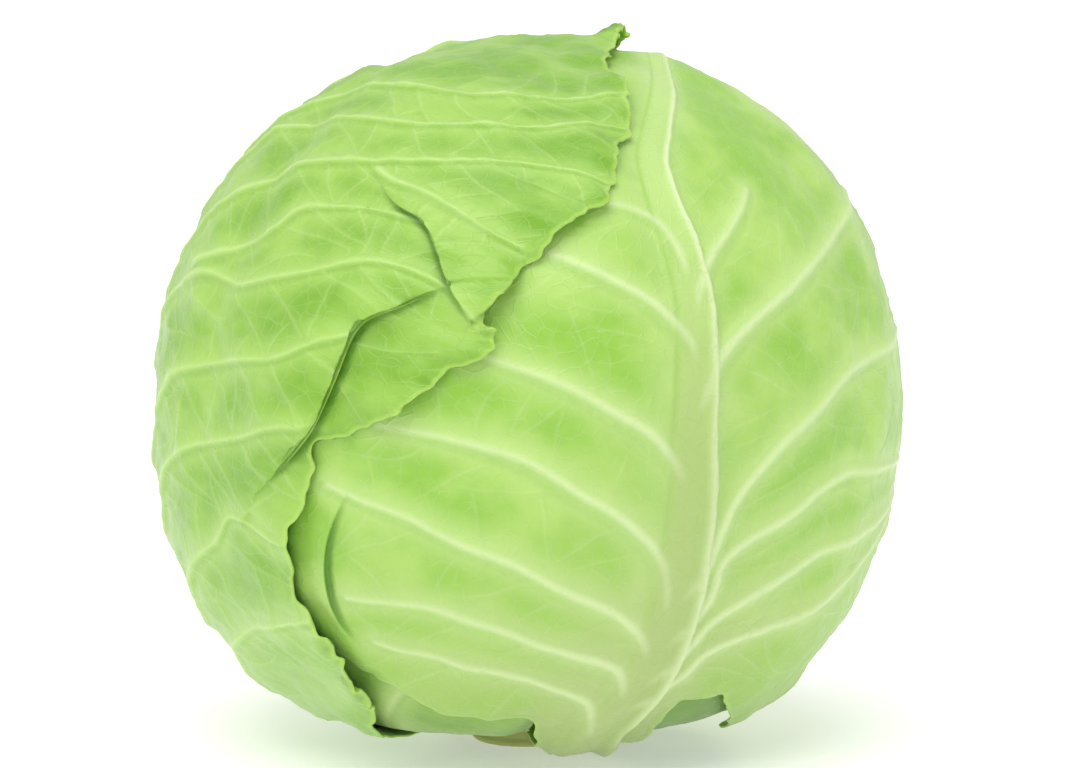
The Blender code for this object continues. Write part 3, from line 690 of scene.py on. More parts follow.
    def lifts(self, points, directions, edge, covered):
        """How far the blade stands off what it lies on, and how far its laps slide over."""
        distance, share, _ = nearest_on_path(points, self.outline, closed=True)
        turn = 2 * math.pi * share
        reach = np.exp(-((distance / self.wave["reach"]) ** 2))
        raised = self.wave["lift"] * reach * (0.55 + 0.9 * beat(self.ruffles, turn)).clip(0, None)
        flutter = (1 + beat(self.teeth, turn * 0.5)).clip(0, None)
        raised += FLUTTER_LIFT * np.exp(-((edge / FLUTTER_REACH) ** 2)) * flutter
        frill = self.crimped(points, share * EDGE_STEP * len(self.outline))
        raised += np.exp(-((edge / FRILL_REACH) ** 2)) * (frill + np.abs(frill))
        slide = np.zeros((len(points), 2))
        crease = np.zeros(len(points))
        raised *= 1 - covered
        clear = 1 - max_cover(self.above, directions, feather=2.5, spread=1.0)
        for fold in self.folds:
            lift, over, shade = fold.fields(points)
            raised += lift * clear
            slide += over * clear[:, None]
            crease = np.maximum(crease, shade * clear)
        curled = np.zeros(len(points))
        for place, height, reach in self.curls:
            away = np.linalg.norm(points - place, axis=1) / reach
            curled = np.maximum(curled, height * np.exp(-(away**2) - (distance / CURL_DEPTH) ** 2))
            # Tall curls get painted shade: the crumpled tuft is mixed toward dark green
            dark = np.clip(height - TUFT_HEIGHT, 0, 0.9)
            crease = np.maximum(crease, dark * np.exp(-((1.3 * away) ** 2)))
        free = smoothstep((directions[:, 2] + 0.95) / 0.1)
        return (raised + curled * clear) * free, slide, crease


def beat(waves, turn):
    """The mean of sine waves round an outline, each with its count and phase."""
    return sum(np.sin(n * turn + p) for n, p in waves) / len(waves)


def max_cover(leaves, directions, feather=12.0, spread=4.0):
    """How far any of these leaves covers each direction, from 0 to 1."""
    covered = np.zeros(len(directions))
    for leaf in leaves:
        covered = np.maximum(covered, leaf.cover(directions, feather, spread))
    return covered


def closed_blade(triangles, count):
    """Triangles of the outer face, of the same face turned over as the inner one, and of the rim."""
    edges = np.concatenate([triangles[:, [0, 1]], triangles[:, [1, 2]], triangles[:, [2, 0]]])
    codes = edges[:, 0] * count + edges[:, 1]
    rim = edges[~np.isin(codes, edges[:, 1] * count + edges[:, 0])]
    a, b = rim.T
    return np.concatenate(
        [
            triangles,
            triangles[:, ::-1] + count,
            np.stack([b, a, a + count], axis=1),
            np.stack([b, a + count, b + count], axis=1),
        ]
    )


# %% [markdown]
# ## Where each leaf lies
#
# The lists are the outlines and veins of this head. front() points are millimetres right and
# up of the middle as seen from the front, and globe() points are azimuth and latitude in
# degrees for the sides that are turned away.

# %% Left wrapper leaf
LEFT_EDGE_SEEN = [
    (20, 84), (24, 74), (25, 65), (22, 58), (21, 52), (19, 46), (13, 41), (7, 38), (2, 33), (-4, 28),
    (-9, 22), (-11, 17), (-7, 15), (-9, 10), (-17, 6), (-25, 0), (-31, -5), (-38, -8), (-45, -10),
    (-52, -12), (-52, -19), (-54, -25), (-57, -33), (-57, -42), (-56, -49), (-51, -55), (-47, -62),
    (-43, -68), (-39, -73), (-38, -78),
]
LEFT_EDGE_HIDDEN = [
    (-50, -70), (-70, -75), (-85, ROOT), (-110, ROOT), (-132, ROOT), (-146, -74), (-158, -62),
    (-166, -45), (-170, -22), (-172, 2), (-176, 25), (-183, 44), (-198, 58), (-222, 68), (-255, 74),
]
LEFT_RIB = [
    (-108, -79), (-108, -65), (-106, -45), (-103, -22), (-101, 0), (-101, 22), (-106, 44), (-116, 62),
    (-136, 72), (-170, 77),
]
LEFT_SIDE_RIBS = [
    [(-41, 75), (-28, 74), (-11, 72), (3, 72), (18, 71), (24, 71)],
    [(-58, 65), (-46, 67), (-28, 65), (-11, 65), (4, 64), (13, 65), (23, 64)],
    [(-75, 45), (-66, 51), (-53, 56), (-38, 56), (-21, 56), (-2, 56), (6, 54), (18, 50)],
    [(-86, 25), (-78, 30), (-70, 26), (-53, 29), (-36, 32), (-23, 28), (-18, 25), (-13, 18)],
    [(-86, 5), (-79, 7), (-72, 8), (-60, 8), (-53, 11), (-44, 15)],
    [(-87, -16), (-83, -13), (-78, -12), (-70, -11), (-64, -9), (-55, -7)],
    [(-82, -42), (-76, -36), (-75, -30), (-70, -31), (-59, -36)],
    [(-72, -62), (-68, -58), (-62, -57), (-51, -54)],
]
LEFT_BRANCHES = [
    [(-38, 56), (-34, 52), (-25, 49), (-18, 45), (-9, 39), (-2, 35)],
    [(-82, 31), (-71, 36), (-63, 39), (-55, 45), (-38, 45), (-25, 41)],
]
LEFT_LAP = [
    (-19, 26), (-25, 25), (-31, 22), (-41, 19), (-44, 15), (-48, 5), (-51, -2), (-54, -9), (-58, -14),
    (-65, -23),
]
LEFT_TONGUE = [(-34, 49), (-30, 45), (-24, 42), (-20, 37), (-19, 31), (-17, 25), (-14, 18)]
LEFT_TUCK = [(-2, 31), (-6, 26), (-9, 22), (-13, 18)]
# Places that stand up: place, height and reach
LEFT_CURLS = [
    ((17, 86), 4.5, 7.0), ((24, 70), 1.2, 7.0), ((-57, -40), 1.4, 10.0), ((-44, -67), 1.4, 9.0),
]
# Frilled places: place, reach, rise and wavelength
LEFT_CRIMPS = [
    ((16, 86), 9.0, 1.9, 5.5), ((-47, -62), 12.0, 1.0, 9.0), ((-39, -74), 10.0, 1.6, 7.0),
    ((-8, 14), 7.0, 0.8, 6.0), ((-30, -4), 16.0, 0.5, 7.5),
]

SIDE_LOOK = {"pale": 0.75, "core": (1.2, 0.7), "glow": 0.34}


def left_leaf():
    outline = np.concatenate([front(LEFT_EDGE_SEEN), globe(LEFT_EDGE_HIDDEN)])
    wave = {"depth": 1.3, "length": 15.0, "lift": 2.2, "reach": 9.0}
    leaf = Leaf("leaf_left", (-100, 8), outline, wave, seed=3)
    leaf.add_vein(globe(LEFT_RIB), (11.0, 1.6), (3.6, 0.4), onward=True, core=(6.0, 1.2), glow=0.5)
    for path in LEFT_SIDE_RIBS:
        leaf.add_vein(front(path), (3.2, 1.7), (1.3, 0.6), rooted=True, **SIDE_LOOK)
    for path in LEFT_BRANCHES:
        leaf.add_vein(front(path), (2.2, 1.7), (0.9, 0.6), **SIDE_LOOK)
    for path, height, reach, side in (
        (LEFT_LAP, 2.6, 20.0, -1),
        (LEFT_TONGUE, 2.0, 9.0, 1),
        (LEFT_TUCK, 1.8, 6.0, -1),
    ):
        leaf.folds.append(Fold(smooth_path(leaf.flat(front(path)), 2.0), height, reach, side))
    leaf.add_side_veins(6, 0.1, 0.85, (3.4, 1.8), (1.3, 0.6), sides=(1,), **SIDE_LOOK)
    leaf.add_curls((front([place]), height, reach) for place, height, reach in LEFT_CURLS)
    leaf.add_crimps((front([place]), *frill) for place, *frill in LEFT_CRIMPS)
    return leaf


# %% Front wrapper leaf
FRONT_EDGE_SEEN = [
    (-58, -4), (-58, -12), (-59, -19), (-60, -25), (-62, -33), (-62, -42), (-61, -49), (-57, -56),
    (-52, -62), (-46, -67), (-40, -70), (-34, -73), (-28, -77), (-21, -80), (-12, -80), (-4, -82),
    (2, -82),
]
FRONT_EDGE_ROOT = [(-6, -77), (-8, ROOT), (20, ROOT), (48, ROOT), (42, -75)]
FRONT_EDGE_RIGHT = [
    (37, -76), (43, -76), (48, -74),
]
FRONT_EDGE_HIDDEN = [
    (74, -59), (82, -53), (87, -46), (89, -38), (91, -28), (91, -16), (91, -4), (95, 10), (100, 28),
    (108, 46), (124, 62), (165, 74), (-110, 80), (-62, 72), (-46, 55), (-46, 35), (-46, 15),
]
FRONT_RIB = [
    (15, -83), (27, -72), (35, -55), (38, -40), (40, -26), (40, -14), (41, -2), (41, 10), (41, 22),
    (38, 34), (33, 47), (30, 58), (32, 68), (33, 77),
]
FRONT_SIDE_RIBS = [
    [(38, 34), (33, 42), (27, 45), (20, 46)],
    [(41, 12), (36, 17), (29, 23), (21, 27), (13, 31), (6, 34), (-2, 37)],
    [(37, -19), (34, -14), (29, -9), (21, -5), (13, 0), (6, 3), (-2, 6), (-8, 8), (-14, 10)],
    [(34, -45), (32, -39), (27, -34), (21, -29), (13, -25), (6, -20), (-2, -16), (-21, -11), (-38, -8)],
    [(29, -62), (26, -57), (19, -52), (8, -48), (-2, -43), (-21, -36), (-29, -31), (-43, -26),
     (-50, -23)],
    [(23, -67), (15, -64), (1, -62), (-6, -59), (-16, -56), (-23, -53), (-34, -52), (-45, -51)],
    [(15, -74), (1, -71), (-9, -69), (-16, -68), (-23, -65), (-32, -64), (-38, -62)],
    [(42, 26), (45, 34), (49, 39), (52, 44), (54, 50)],
    [(44, 0), (47, 9), (51, 13), (57, 19), (63, 24), (68, 29), (73, 35), (77, 42)],
    [(45, -42), (48, -33), (52, -25), (58, -18), (64, -11), (70, -6), (76, 1), (80, 6), (85, 9)],
    [(45, -52), (47, -42), (55, -36), (64, -31), (71, -25), (78, -20), (84, -19)],
    [(41, -62), (44, -57), (52, -52), (59, -48), (67, -43), (72, -39), (78, -36)],
    [(38, -70), (42, -65), (51, -61), (59, -58), (66, -55), (71, -51)],
]
# The rolled strip along the left margin stands up on the right of this path's way down
FRONT_ROLL = [(-46, -26), (-49, -31), (-51, -37), (-51.5, -44), (-50, -52), (-47, -58), (-43, -62)]
ROLL_SIDE = -1
FRONT_CRIMPS = [
    ((82, -36), 9.0, 0.9, 7.0), ((70, -52), 11.0, 0.8, 8.0), ((58, -66), 9.0, 0.6, 7.0),
    ((-40, -70), 9.0, 0.9, 8.0), ((-50, -40), 16.0, 0.5, 9.0),
]
FRONT_CURLS = [
    ((83, -36), 1.2, 8.0), ((73, -48), 1.2, 9.0), ((61, -64), 1.0, 9.0), ((-30, -73), 1.2, 8.0),
]


def front_leaf():
    outline = np.concatenate([
        front(FRONT_EDGE_SEEN), globe(FRONT_EDGE_ROOT), front(FRONT_EDGE_RIGHT),
        globe(FRONT_EDGE_HIDDEN),
    ])
    wave = {"depth": 1.2, "length": 17.0, "lift": 1.5, "reach": 8.0}
    leaf = Leaf("leaf_front", (25, 0), outline, wave, seed=5)
    rib = np.concatenate([globe([(20, -79)]), front(FRONT_RIB)])
    rib_look = {"keeled": True, "pale": 0.85, "glow": 0.2}
    leaf.add_vein(rib, (12.5, 3.4), (3.9, 1.2), crest=-0.35, onward=True, **rib_look)
    side_look = {"pale": 0.7, "core": (1.6, 1.0), "glow": 0.42}
    for path in FRONT_SIDE_RIBS:
        onward = path[-1][0] > 70
        leaf.add_vein(front(path), (4.2, 1.8), (1.4, 0.6), rooted=True, onward=onward, **side_look)
    roll = smooth_path(leaf.flat(front(FRONT_ROLL)), 2.0)
    leaf.folds.append(Fold(roll, 1.5, 4.0, ROLL_SIDE))
    leaf.add_curls((front([place]), height, reach) for place, height, reach in FRONT_CURLS)
    leaf.add_crimps((front([place]), *frill) for place, *frill in FRONT_CRIMPS)
    return leaf


# %% Back wrapper leaf and the inner leaves
BACK_EDGE = [
    (150, ROOT), (165, ROOT), (182, ROOT), (196, -73), (208, -60), (216, -42), (220, -15),
    (222, 12), (224, 38), (222, 62), (200, 78), (120, 79), (96, 66), (86, 45), (80, 22), (74, 0),
    (64, -20), (58, -36), (60, -48), (74, -56), (96, -62), (118, -68), (136, -75),
]
BACK_RIB = [(165, -79), (164, -62), (160, -40), (156, -15), (154, 10), (155, 34), (160, 56), (172, 70)]
INNER_OUTLINE = [
    (-16, INNER_ROOT), (0, INNER_ROOT), (16, INNER_ROOT), (36, -74), (55, -62), (66, -42), (72, -15),
    (73, 12), (68, 36), (52, 54), (20, 64), (-20, 64), (-52, 54), (-68, 36), (-73, 12), (-72, -15),
    (-66, -42), (-55, -62), (-36, -74),
]
INNER_RIB = [(0, -79), (2, -62), (3, -40), (1, -15), (-1, 12), (0, 34), (2, 50)]


def back_leaf():
    wave = {"depth": 1.3, "length": 16.0, "lift": 1.8, "reach": 8.0}
    leaf = Leaf("leaf_back", (155, 0), globe(BACK_EDGE), wave, seed=7)
    leaf.add_vein(globe(BACK_RIB), (11.5, 2.0), (3.6, 0.9), core=(6.0, 1.2), glow=0.5)
    leaf.add_side_veins(6, 0.12, 0.82, (3.6, 1.8), (1.4, 0.6), **SIDE_LOOK)
    return leaf


def turned(points, azimuth):
    return [(a + azimuth, latitude) for a, latitude in points]


def inner_leaf(name, azimuth, seed):
    wave = {"depth": 1.2, "length": 18.0, "lift": 0.8, "reach": 6.0}
    leaf = Leaf(name, (azimuth, 0), globe(turned(INNER_OUTLINE, azimuth)), wave, seed)
    leaf.add_vein(globe(turned(INNER_RIB, azimuth)), (9.5, 2.0), (3.2, 0.8), core=(5.0, 1.2), glow=0.5)
    leaf.add_side_veins(5, 0.1, 0.8, (3.4, 1.8), (1.2, 0.6), **SIDE_LOOK)
    return leaf


leaves = [
    inner_leaf("inner_leaf_rear", -142, seed=11),
    inner_leaf("inner_leaf_right", 80, seed=13),
    inner_leaf("inner_leaf_left", -57, seed=17),
    back_leaf(),
    front_leaf(),
    left_leaf(),
]
for number, leaf in enumerate(leaves):
    leaf.beneath = leaves[:number]
    leaf.above = leaves[number + 1 :]
# Spacing along the parent in mm, and how pale the twigs are
TWIGS = {"leaf_back": (12.0, 0.3), "leaf_front": (13.0, 0.16), "leaf_left": (11.0, 0.34)}
for leaf in leaves[3:]:
    spacing, twig_pale = TWIGS[leaf.name]
    leaf.veins += grown_veins(
        leaf, leaf.veins[:], spacing, 58, 26.0, (0.95, 0.6), (0.3, 0.12), twig_pale
    )
    print(leaf.name, "has", len(leaf.veins), "veins")

# %% [markdown]
# ## The waxy green lamina
#
# A cabbage leaf is a thin sheet of green cells under a clear waxy skin. Light goes a
# millimetre or two into it, so its shadows are soft and green. Wax gives a broad, dim shine.
# The finest veins form a net of cells about 4 mm wide, which is drawn by a Voronoi pattern on
# the leaf's own map.

# %% Leaf material
MAP_UNIT = 100.0  # millimetres of the flat map to one unit of its UV map


def leaf_material(name, deep, light, vein, edge, root, net_strength):
    """Waxy lamina: deep and light greens between the veins, and pale veins, edge and root."""
    made, tree, shader = new_material(name)
    flat = add(tree, "ShaderNodeUVMap", {"uv_map": "leaf_map"}, {}).outputs["UV"]
    given = {
        label: add(tree, "ShaderNodeAttribute", {"attribute_name": label}, {}).outputs["Fac"]
        for label in ("near", "young", "shade", "pale", "root", "edge", "crease")
    }

    # Deep green lies in patches 20 to 40 mm wide between the veins, and less in young lamina.
    # The numbers of a Map Range are its value, the range it comes from and the one it goes to.
    noise = {"Vector": flat, "Scale": 3.6, "Detail": 3.0}
    patches = add(tree, "ShaderNodeTexNoise", {}, noise).outputs[0]
    turned_to = {0: patches, 1: 0.32, 2: 0.6, 3: 0.15}
    patchy = add(tree, "ShaderNodeMapRange", SMOOTH, turned_to).outputs[0]
    turned_to = {0: given["near"], 2: 9.0, 3: 0.2}
    between = add(tree, "ShaderNodeMapRange", SMOOTH, turned_to).outputs[0]
    green = add(tree, "ShaderNodeMath", TIMES, {0: between, 1: patchy}).outputs[0]
    larger = {"operation": "MAXIMUM"}
    # Painted shade just below the veins and in the midrib's groove deepens the green too
    green = add(tree, "ShaderNodeMath", larger, {0: green, 1: given["shade"]}).outputs[0]
    turned_to = {0: given["young"], 3: 1.0, 4: 0.35}
    old = add(tree, "ShaderNodeMapRange", SMOOTH, turned_to).outputs[0]
    green = add(tree, "ShaderNodeMath", TIMES, {0: green, 1: old}).outputs[0]

    # Mottling of a few millimetres
    noise = {"Vector": flat, "Scale": 20.0, "Detail": 4.0}
    mottle = add(tree, "ShaderNodeTexNoise", {}, noise).outputs[0]
    turned_to = {0: mottle, 1: 0.42, 2: 0.7, 4: 0.2}
    mottled = add(tree, "ShaderNodeMapRange", SMOOTH, turned_to).outputs[0]

    # The net of finest veins: cell edges of a warped Voronoi pattern, cells about 4 mm wide
    noise = {"Vector": flat, "Scale": 14.0, "Detail": 2.0}
    warp = add(tree, "ShaderNodeTexNoise", {}, noise).outputs[1]
    warped = {0: warp, 1: (0.06, 0.06, 0.0), 2: flat}
    shifted = add(tree, "ShaderNodeVectorMath", TIMES_PLUS, warped).outputs[0]
    cells = {"feature": "DISTANCE_TO_EDGE", "voronoi_dimensions": "2D"}
    pattern = {"Vector": shifted, "Scale": 24.0}
    net = add(tree, "ShaderNodeTexVoronoi", cells, pattern).outputs["Distance"]
    turned_to = {0: net, 2: 0.09, 3: 1.0, 4: 0.0}
    line = add(tree, "ShaderNodeMapRange", SMOOTH, turned_to).outputs[0]
    turned_to = {0: patches, 1: 0.3, 2: 0.6, 3: 0.35 * net_strength, 4: net_strength}
    seen = add(tree, "ShaderNodeMapRange", SMOOTH, turned_to).outputs[0]
    netted = add(tree, "ShaderNodeMath", TIMES, {0: line, 1: seen}).outputs[0]

    # Colours are laid one over the other, each with the share that it covers
    turned_to = {0: given["edge"], 1: 0.2, 2: 1.6, 3: 0.6, 4: 0.0}
    rim = add(tree, "ShaderNodeMapRange", SMOOTH, turned_to).outputs[0]
    # Painted shade: creases beside laps and the dark tufts are mixed toward a dark green
    dark = add(tree, "ShaderNodeMapRange", SMOOTH, {0: given["crease"], 4: 0.8}).outputs[0]
    by_age = {0: given["young"], 6: colour(light), 7: colour(root)}
    paint = base = add(tree, "ShaderNodeMix", BLEND, by_age).outputs[2]
    for share, over in (
        (green, colour(deep)), (mottled, base), (netted, colour(vein)),
        (given["pale"], colour(vein)), (given["root"], colour(root)), (rim, colour(edge)),
        (dark, colour("#558A1A")),
    ):
        paint = add(tree, "ShaderNodeMix", BLEND, {0: share, 6: paint, 7: over}).outputs[2]

    # Relief too fine for the mesh: the net stands up, and the skin has a grain of 0.3 mm
    noise = {"Vector": flat, "Scale": 330.0, "Detail": 2.0}
    grain = add(tree, "ShaderNodeTexNoise", {}, noise).outputs[0]
    grain = add(tree, "ShaderNodeMath", TIMES, {0: grain, 1: 0.25}).outputs[0]
    relief = add(tree, "ShaderNodeMath", TIMES_PLUS, {0: line, 1: 0.8, 2: grain}).outputs[0]
    relief = {"Strength": 0.3, "Distance": 0.0004, "Height": relief}
    bump = add(tree, "ShaderNodeBump", {}, relief).outputs[0]

    # Wax gives a broad dim shine, a little rougher in patches, and a pale bloom at the sides
    turned_to = {0: mottle, 1: 0.3, 2: 0.7, 3: 0.34, 4: 0.48}
    gloss = add(tree, "ShaderNodeMapRange", SMOOTH, turned_to).outputs[0]
    fill(tree, shader, {
        "Base Color": paint, "Roughness": gloss, "IOR": 1.42, "Normal": bump,
        "Subsurface Weight": 0.25, "Subsurface Radius": (0.9, 1.0, 0.3),
        "Subsurface Scale": 0.0015, "Sheen Weight": 0.14, "Sheen Roughness": 0.5,
    })
    return made


# Name, then deep, light, vein, edge and root colours, and how much of the net shows
LOOKS = {
    "left": ("sunlit wrapper leaf", "#7BB02C", "#A5CF5C", "#C8E690", "#B7DC68", "#B9D493", 0.14),
    "front": ("shaded wrapper leaf", "#8FC340", "#B5DA6F", "#E0EDBD", "#AED46E", "#A3B86C", 0.08),
    "back": ("rear wrapper leaf", "#86BA3C", "#AED56B", "#CFE69C", "#B4D86E", "#C3D493", 0.16),
    "inner left": ("left under leaf", "#7BA83C", "#A6C667", "#C6D896", "#A8C86A", "#A1963A", 0.12),
    # The inner leaves are darker green partly as painted shade, for where they show low under the
    # wrappers
    "inner": ("inner leaf", "#6A9634", "#83AB47", "#AECD78", "#92B852", "#9AB560", 0.12),
}
LAMINAS = {
    key: leaf_material(title + ", waxy lamina", *look) for key, (title, *look) in LOOKS.items()
}
print("leaf materials:", ", ".join(m.name for m in LAMINAS.values()))

# %% [markdown]
# ## Puckered skin
#
# Between its veins a leaf is never smooth: the lamina puckers a little, and the net of veins
# stands up from it. This follows one rule over the whole blade, so a Geometry Nodes tree does
# it, with the pucker's size and height as named inputs.


# %% Geometry Nodes tree for the skin
def skin_tree():
    tree = bpy.data.node_groups.new("puckered leaf skin", "GeometryNodeTree")
    face = tree.interface
    face.new_socket("Leaf", in_out="INPUT", socket_type="NodeSocketGeometry")
    face.new_socket("Pucker Scale", in_out="INPUT", socket_type="NodeSocketVector")
    for label in ("Pucker Height", "Net Scale", "Net Height"):
        face.new_socket(label, in_out="INPUT", socket_type="NodeSocketFloat")
    face.new_socket("Lamina", in_out="INPUT", socket_type="NodeSocketMaterial")
    face.new_socket("Leaf", in_out="OUTPUT", socket_type="NodeSocketGeometry")
    given = add(tree, "NodeGroupInput", {}, {}).outputs
    stored = {"Name": "leaf_map"}
    flat = add(tree, "GeometryNodeInputNamedAttribute", VECTORS, stored).outputs[0]
    stored = {"Name": "skin"}
    numbers = {"data_type": "FLOAT"}
    skin = add(tree, "GeometryNodeInputNamedAttribute", numbers, stored).outputs[0]

    # Puckers rise and sink by the noise's distance from its mean
    stretch = {0: flat, 1: given["Pucker Scale"]}
    scaled = add(tree, "ShaderNodeVectorMath", TIMES, stretch).outputs[0]
    noise = {"Vector": scaled, "Scale": 1.0, "Detail": 2.0}
    noise = add(tree, "ShaderNodeTexNoise", {}, noise).outputs[0]
    pucker = add(tree, "ShaderNodeMath", {"operation": "SUBTRACT"}, {0: noise, 1: 0.5}).outputs[0]
    rise = {0: pucker, 1: given["Pucker Height"]}
    raised = add(tree, "ShaderNodeMath", TIMES, rise).outputs[0]

    # The net lies where the material draws it
    noise = {"Vector": flat, "Scale": 14.0, "Detail": 2.0}
    warp = add(tree, "ShaderNodeTexNoise", {}, noise).outputs[1]
    warped = {0: warp, 1: (0.06, 0.06, 0.0), 2: flat}
    shifted = add(tree, "ShaderNodeVectorMath", TIMES_PLUS, warped).outputs[0]
    cells = {"feature": "SMOOTH_F1", "voronoi_dimensions": "2D"}
    pattern = {"Vector": shifted, "Scale": given["Net Scale"]}
    net = add(tree, "ShaderNodeTexVoronoi", cells, pattern).outputs["Distance"]
    rise = {0: net, 1: given["Net Height"], 2: raised}
    netted = add(tree, "ShaderNodeMath", TIMES_PLUS, rise).outputs[0]

    # All of it fades out where another leaf covers the blade
    height = add(tree, "ShaderNodeMath", TIMES, {0: netted, 1: skin}).outputs[0]
    normal = add(tree, "GeometryNodeInputNormal", {}, {}).outputs[0]
    outward = {0: normal, "Scale": height}
    offset = add(tree, "ShaderNodeVectorMath", {"operation": "SCALE"}, outward).outputs[0]
    shift = {"Geometry": given["Leaf"], "Offset": offset}
    moved = add(tree, "GeometryNodeSetPosition", {}, shift).outputs[0]
    real = add(tree, "GeometryNodeRealizeInstances", {}, {"Geometry": moved}).outputs[0]
    dress = {"Geometry": real, "Material": given["Lamina"]}
    dressed = add(tree, "GeometryNodeSetMaterial", {}, dress).outputs[0]
    add(tree, "NodeGroupOutput", {}, {"Leaf": dressed})
    return tree


def baked(piece, tree, values):
    """The piece with the tree's result as its plain mesh, and no modifier left on it."""
    modifier = piece.modifiers.new(tree.name, "NODES")
    modifier.node_group = tree
    for item in tree.interface.items_tree:
        if item.in_out == "INPUT" and item.name in values:
            modifier[item.identifier] = values[item.name]
    graph = bpy.context.evaluated_depsgraph_get()
    mesh = bpy.data.meshes.new_from_object(
        piece.evaluated_get(graph), preserve_all_data_layers=True, depsgraph=graph
    )
    piece.modifiers.remove(modifier)
    piece.data = mesh
    return piece


SKIN = skin_tree()
print("skin tree inputs:", [i.name for i in SKIN.interface.items_tree if i.in_out == "INPUT"])

# %% [markdown]
# ## From map to blade
#
# Each leaf's points are joined into triangles on the flat map, laid on the head, and doubled
# into an outer and an inner face with a rim between them. Colours that follow the veins are
# stored on the mesh as attributes, and the map itself as a UV map.


# %% Make the leaves
# Puckers across and up the map, as the noise's scale for 100 mm, and their height
PUCKERS = {
    "left": ((3.5, 9.0, 1.0), 0.0038),
    "front": ((5.0, 6.0, 1.0), 0.0018),
    "back": ((5.0, 7.0, 1.0), 0.0024),
    "inner": ((6.0, 6.0, 1.0), 0.0012),
}


def leaf_piece(leaf, name, lamina, pucker):
    shape = leaf.shape()
    mesh = bpy.data.meshes.new(name)
    corners = (shape["corners"] + np.array([0.0, 0.0, seat])) / 1000
    mesh.vertices.add(len(corners))
    mesh.vertices.foreach_set("co", corners.ravel())
    faces = shape["faces"]
    mesh.loops.add(faces.size)
    mesh.loops.foreach_set("vertex_index", faces.ravel())
    mesh.polygons.add(len(faces))
    mesh.polygons.foreach_set("loop_start", np.arange(0, faces.size, 3))
    mesh.polygons.foreach_set("loop_total", np.full(len(faces), 3))
    mesh.update(calc_edges=True)
    latitude = corners[:, 2] * 1000 - seat
    low = smoothstep((-latitude - 5) / 75)
    by_rib = np.exp(-((shape["far"] / 30) ** 2)) * smoothstep((70 - latitude) / 100)
    inner = leaf.name.startswith("inner")
    shape["young"] = np.clip(0.38 * by_rib + 0.7 * low, 0, 1) * (not inner)
    yellowed = smoothstep((-latitude - 76) / 5) if inner else smoothstep((-latitude - 60) / 24)
    shape["root"] = yellowed * np.exp(-((shape["far"] / 24) ** 2))
    if leaf.name == "leaf_front":
        # The flat of the big midrib is duller than the lamina
        flat_rib = np.exp(-((shape["far"] / 6.5) ** 4)) * smoothstep((50 - latitude) / 60)
        shape["root"] = np.maximum(shape["root"], 0.5 * flat_rib)
    for label in ("pale", "near", "shade", "edge", "crease", "skin", "young", "root"):
        layer = mesh.attributes.new(label, "FLOAT", "POINT")
        layer.data.foreach_set("value", shape[label].astype(np.float32))
    layer = mesh.uv_layers.new(name="leaf_map")
    layer.data.foreach_set("uv", (shape["map"][faces.ravel()] / MAP_UNIT).ravel())
    mesh.shade_smooth()
    piece = placed(name, mesh)
    baked(piece, SKIN, {
        "Pucker Scale": pucker[0], "Pucker Height": pucker[1], "Net Scale": 24.0, "Net Height": -0.00035,
        "Lamina": lamina,
    })
    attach(piece, "root")
    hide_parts(leaf.name)
    print(name, len(piece.data.polygons), "faces")
    return piece


PIECES = {
    "leaf_left": ("left_wrapper_leaf", "left", "outer_leaf"),
    "leaf_front": ("front_wrapper_leaf", "front", "front_leaf"),
    "leaf_back": ("back_wrapper_leaf", "back", "outer_leaf"),
    "inner_leaf_left": ("left_under_leaf", "inner left", "inner_leaf"),
    "inner_leaf_right": ("right_under_leaf", "inner", "inner_leaf"),
    "inner_leaf_rear": ("rear_under_leaf", "inner", "inner_leaf"),
}
for leaf in leaves:
    title, lamina, slot = PIECES[leaf.name]
    leaf_piece(leaf, title, LAMINAS[lamina], PUCKERS[lamina.split()[0]])

# %% [markdown]
# ## The heart
#
# Under the wrapper leaves a head is a hard ball of many tight leaves. Only slits of it show, so
# it is one ball in fine triangles. Five laps of leaf edge are pressed into it, each a soft
# groove that winds round its own pole.


# %% Heart
HEART_DETAIL = 7
HEART_WAVE = 0.35


def heart_piece(name):
    ball = bmesh.new()
    bmesh.ops.create_icosphere(ball, subdivisions=HEART_DETAIL, radius=1.0)
    directions = np.array([tuple(v.co.normalized()) for v in ball.verts])
    sink = np.zeros(len(directions))
    for number in range(5):
        centre = globe([(137.5 * number + 10, 12)])[0]
        angle = np.degrees(np.arccos(np.clip(directions @ centre, -1, 1)))
        edge = 74 + 4 * np.sin(5 * np.arctan2(directions[:, 2], directions[:, 0]) + number)
        sink = np.maximum(sink, HEART_GROOVE * np.exp(-(((angle - edge) / 7) ** 2)))
    wave = np.sin(directions @ (31, 17, 9)) * np.sin(directions @ (-14, 28, 19) + 1)
    radius = heart_radius(directions) - sink - HEART_WAVE * (1 + wave) / 2
    for vert, place in zip(ball.verts, (directions * radius[:, None] + (0, 0, seat)) / 1000):
        vert.co = place
    mesh = bpy.data.meshes.new(name)
    ball.to_mesh(mesh)
    ball.free()
    layer = mesh.attributes.new("lap", "FLOAT", "POINT")
    layer.data.foreach_set("value", (sink / HEART_GROOVE).astype(np.float32))
    mesh.shade_smooth()
    piece = placed(name, mesh)
    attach(piece, "root")
    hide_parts("heart")
    print(name, len(mesh.polygons), "faces")
    return piece


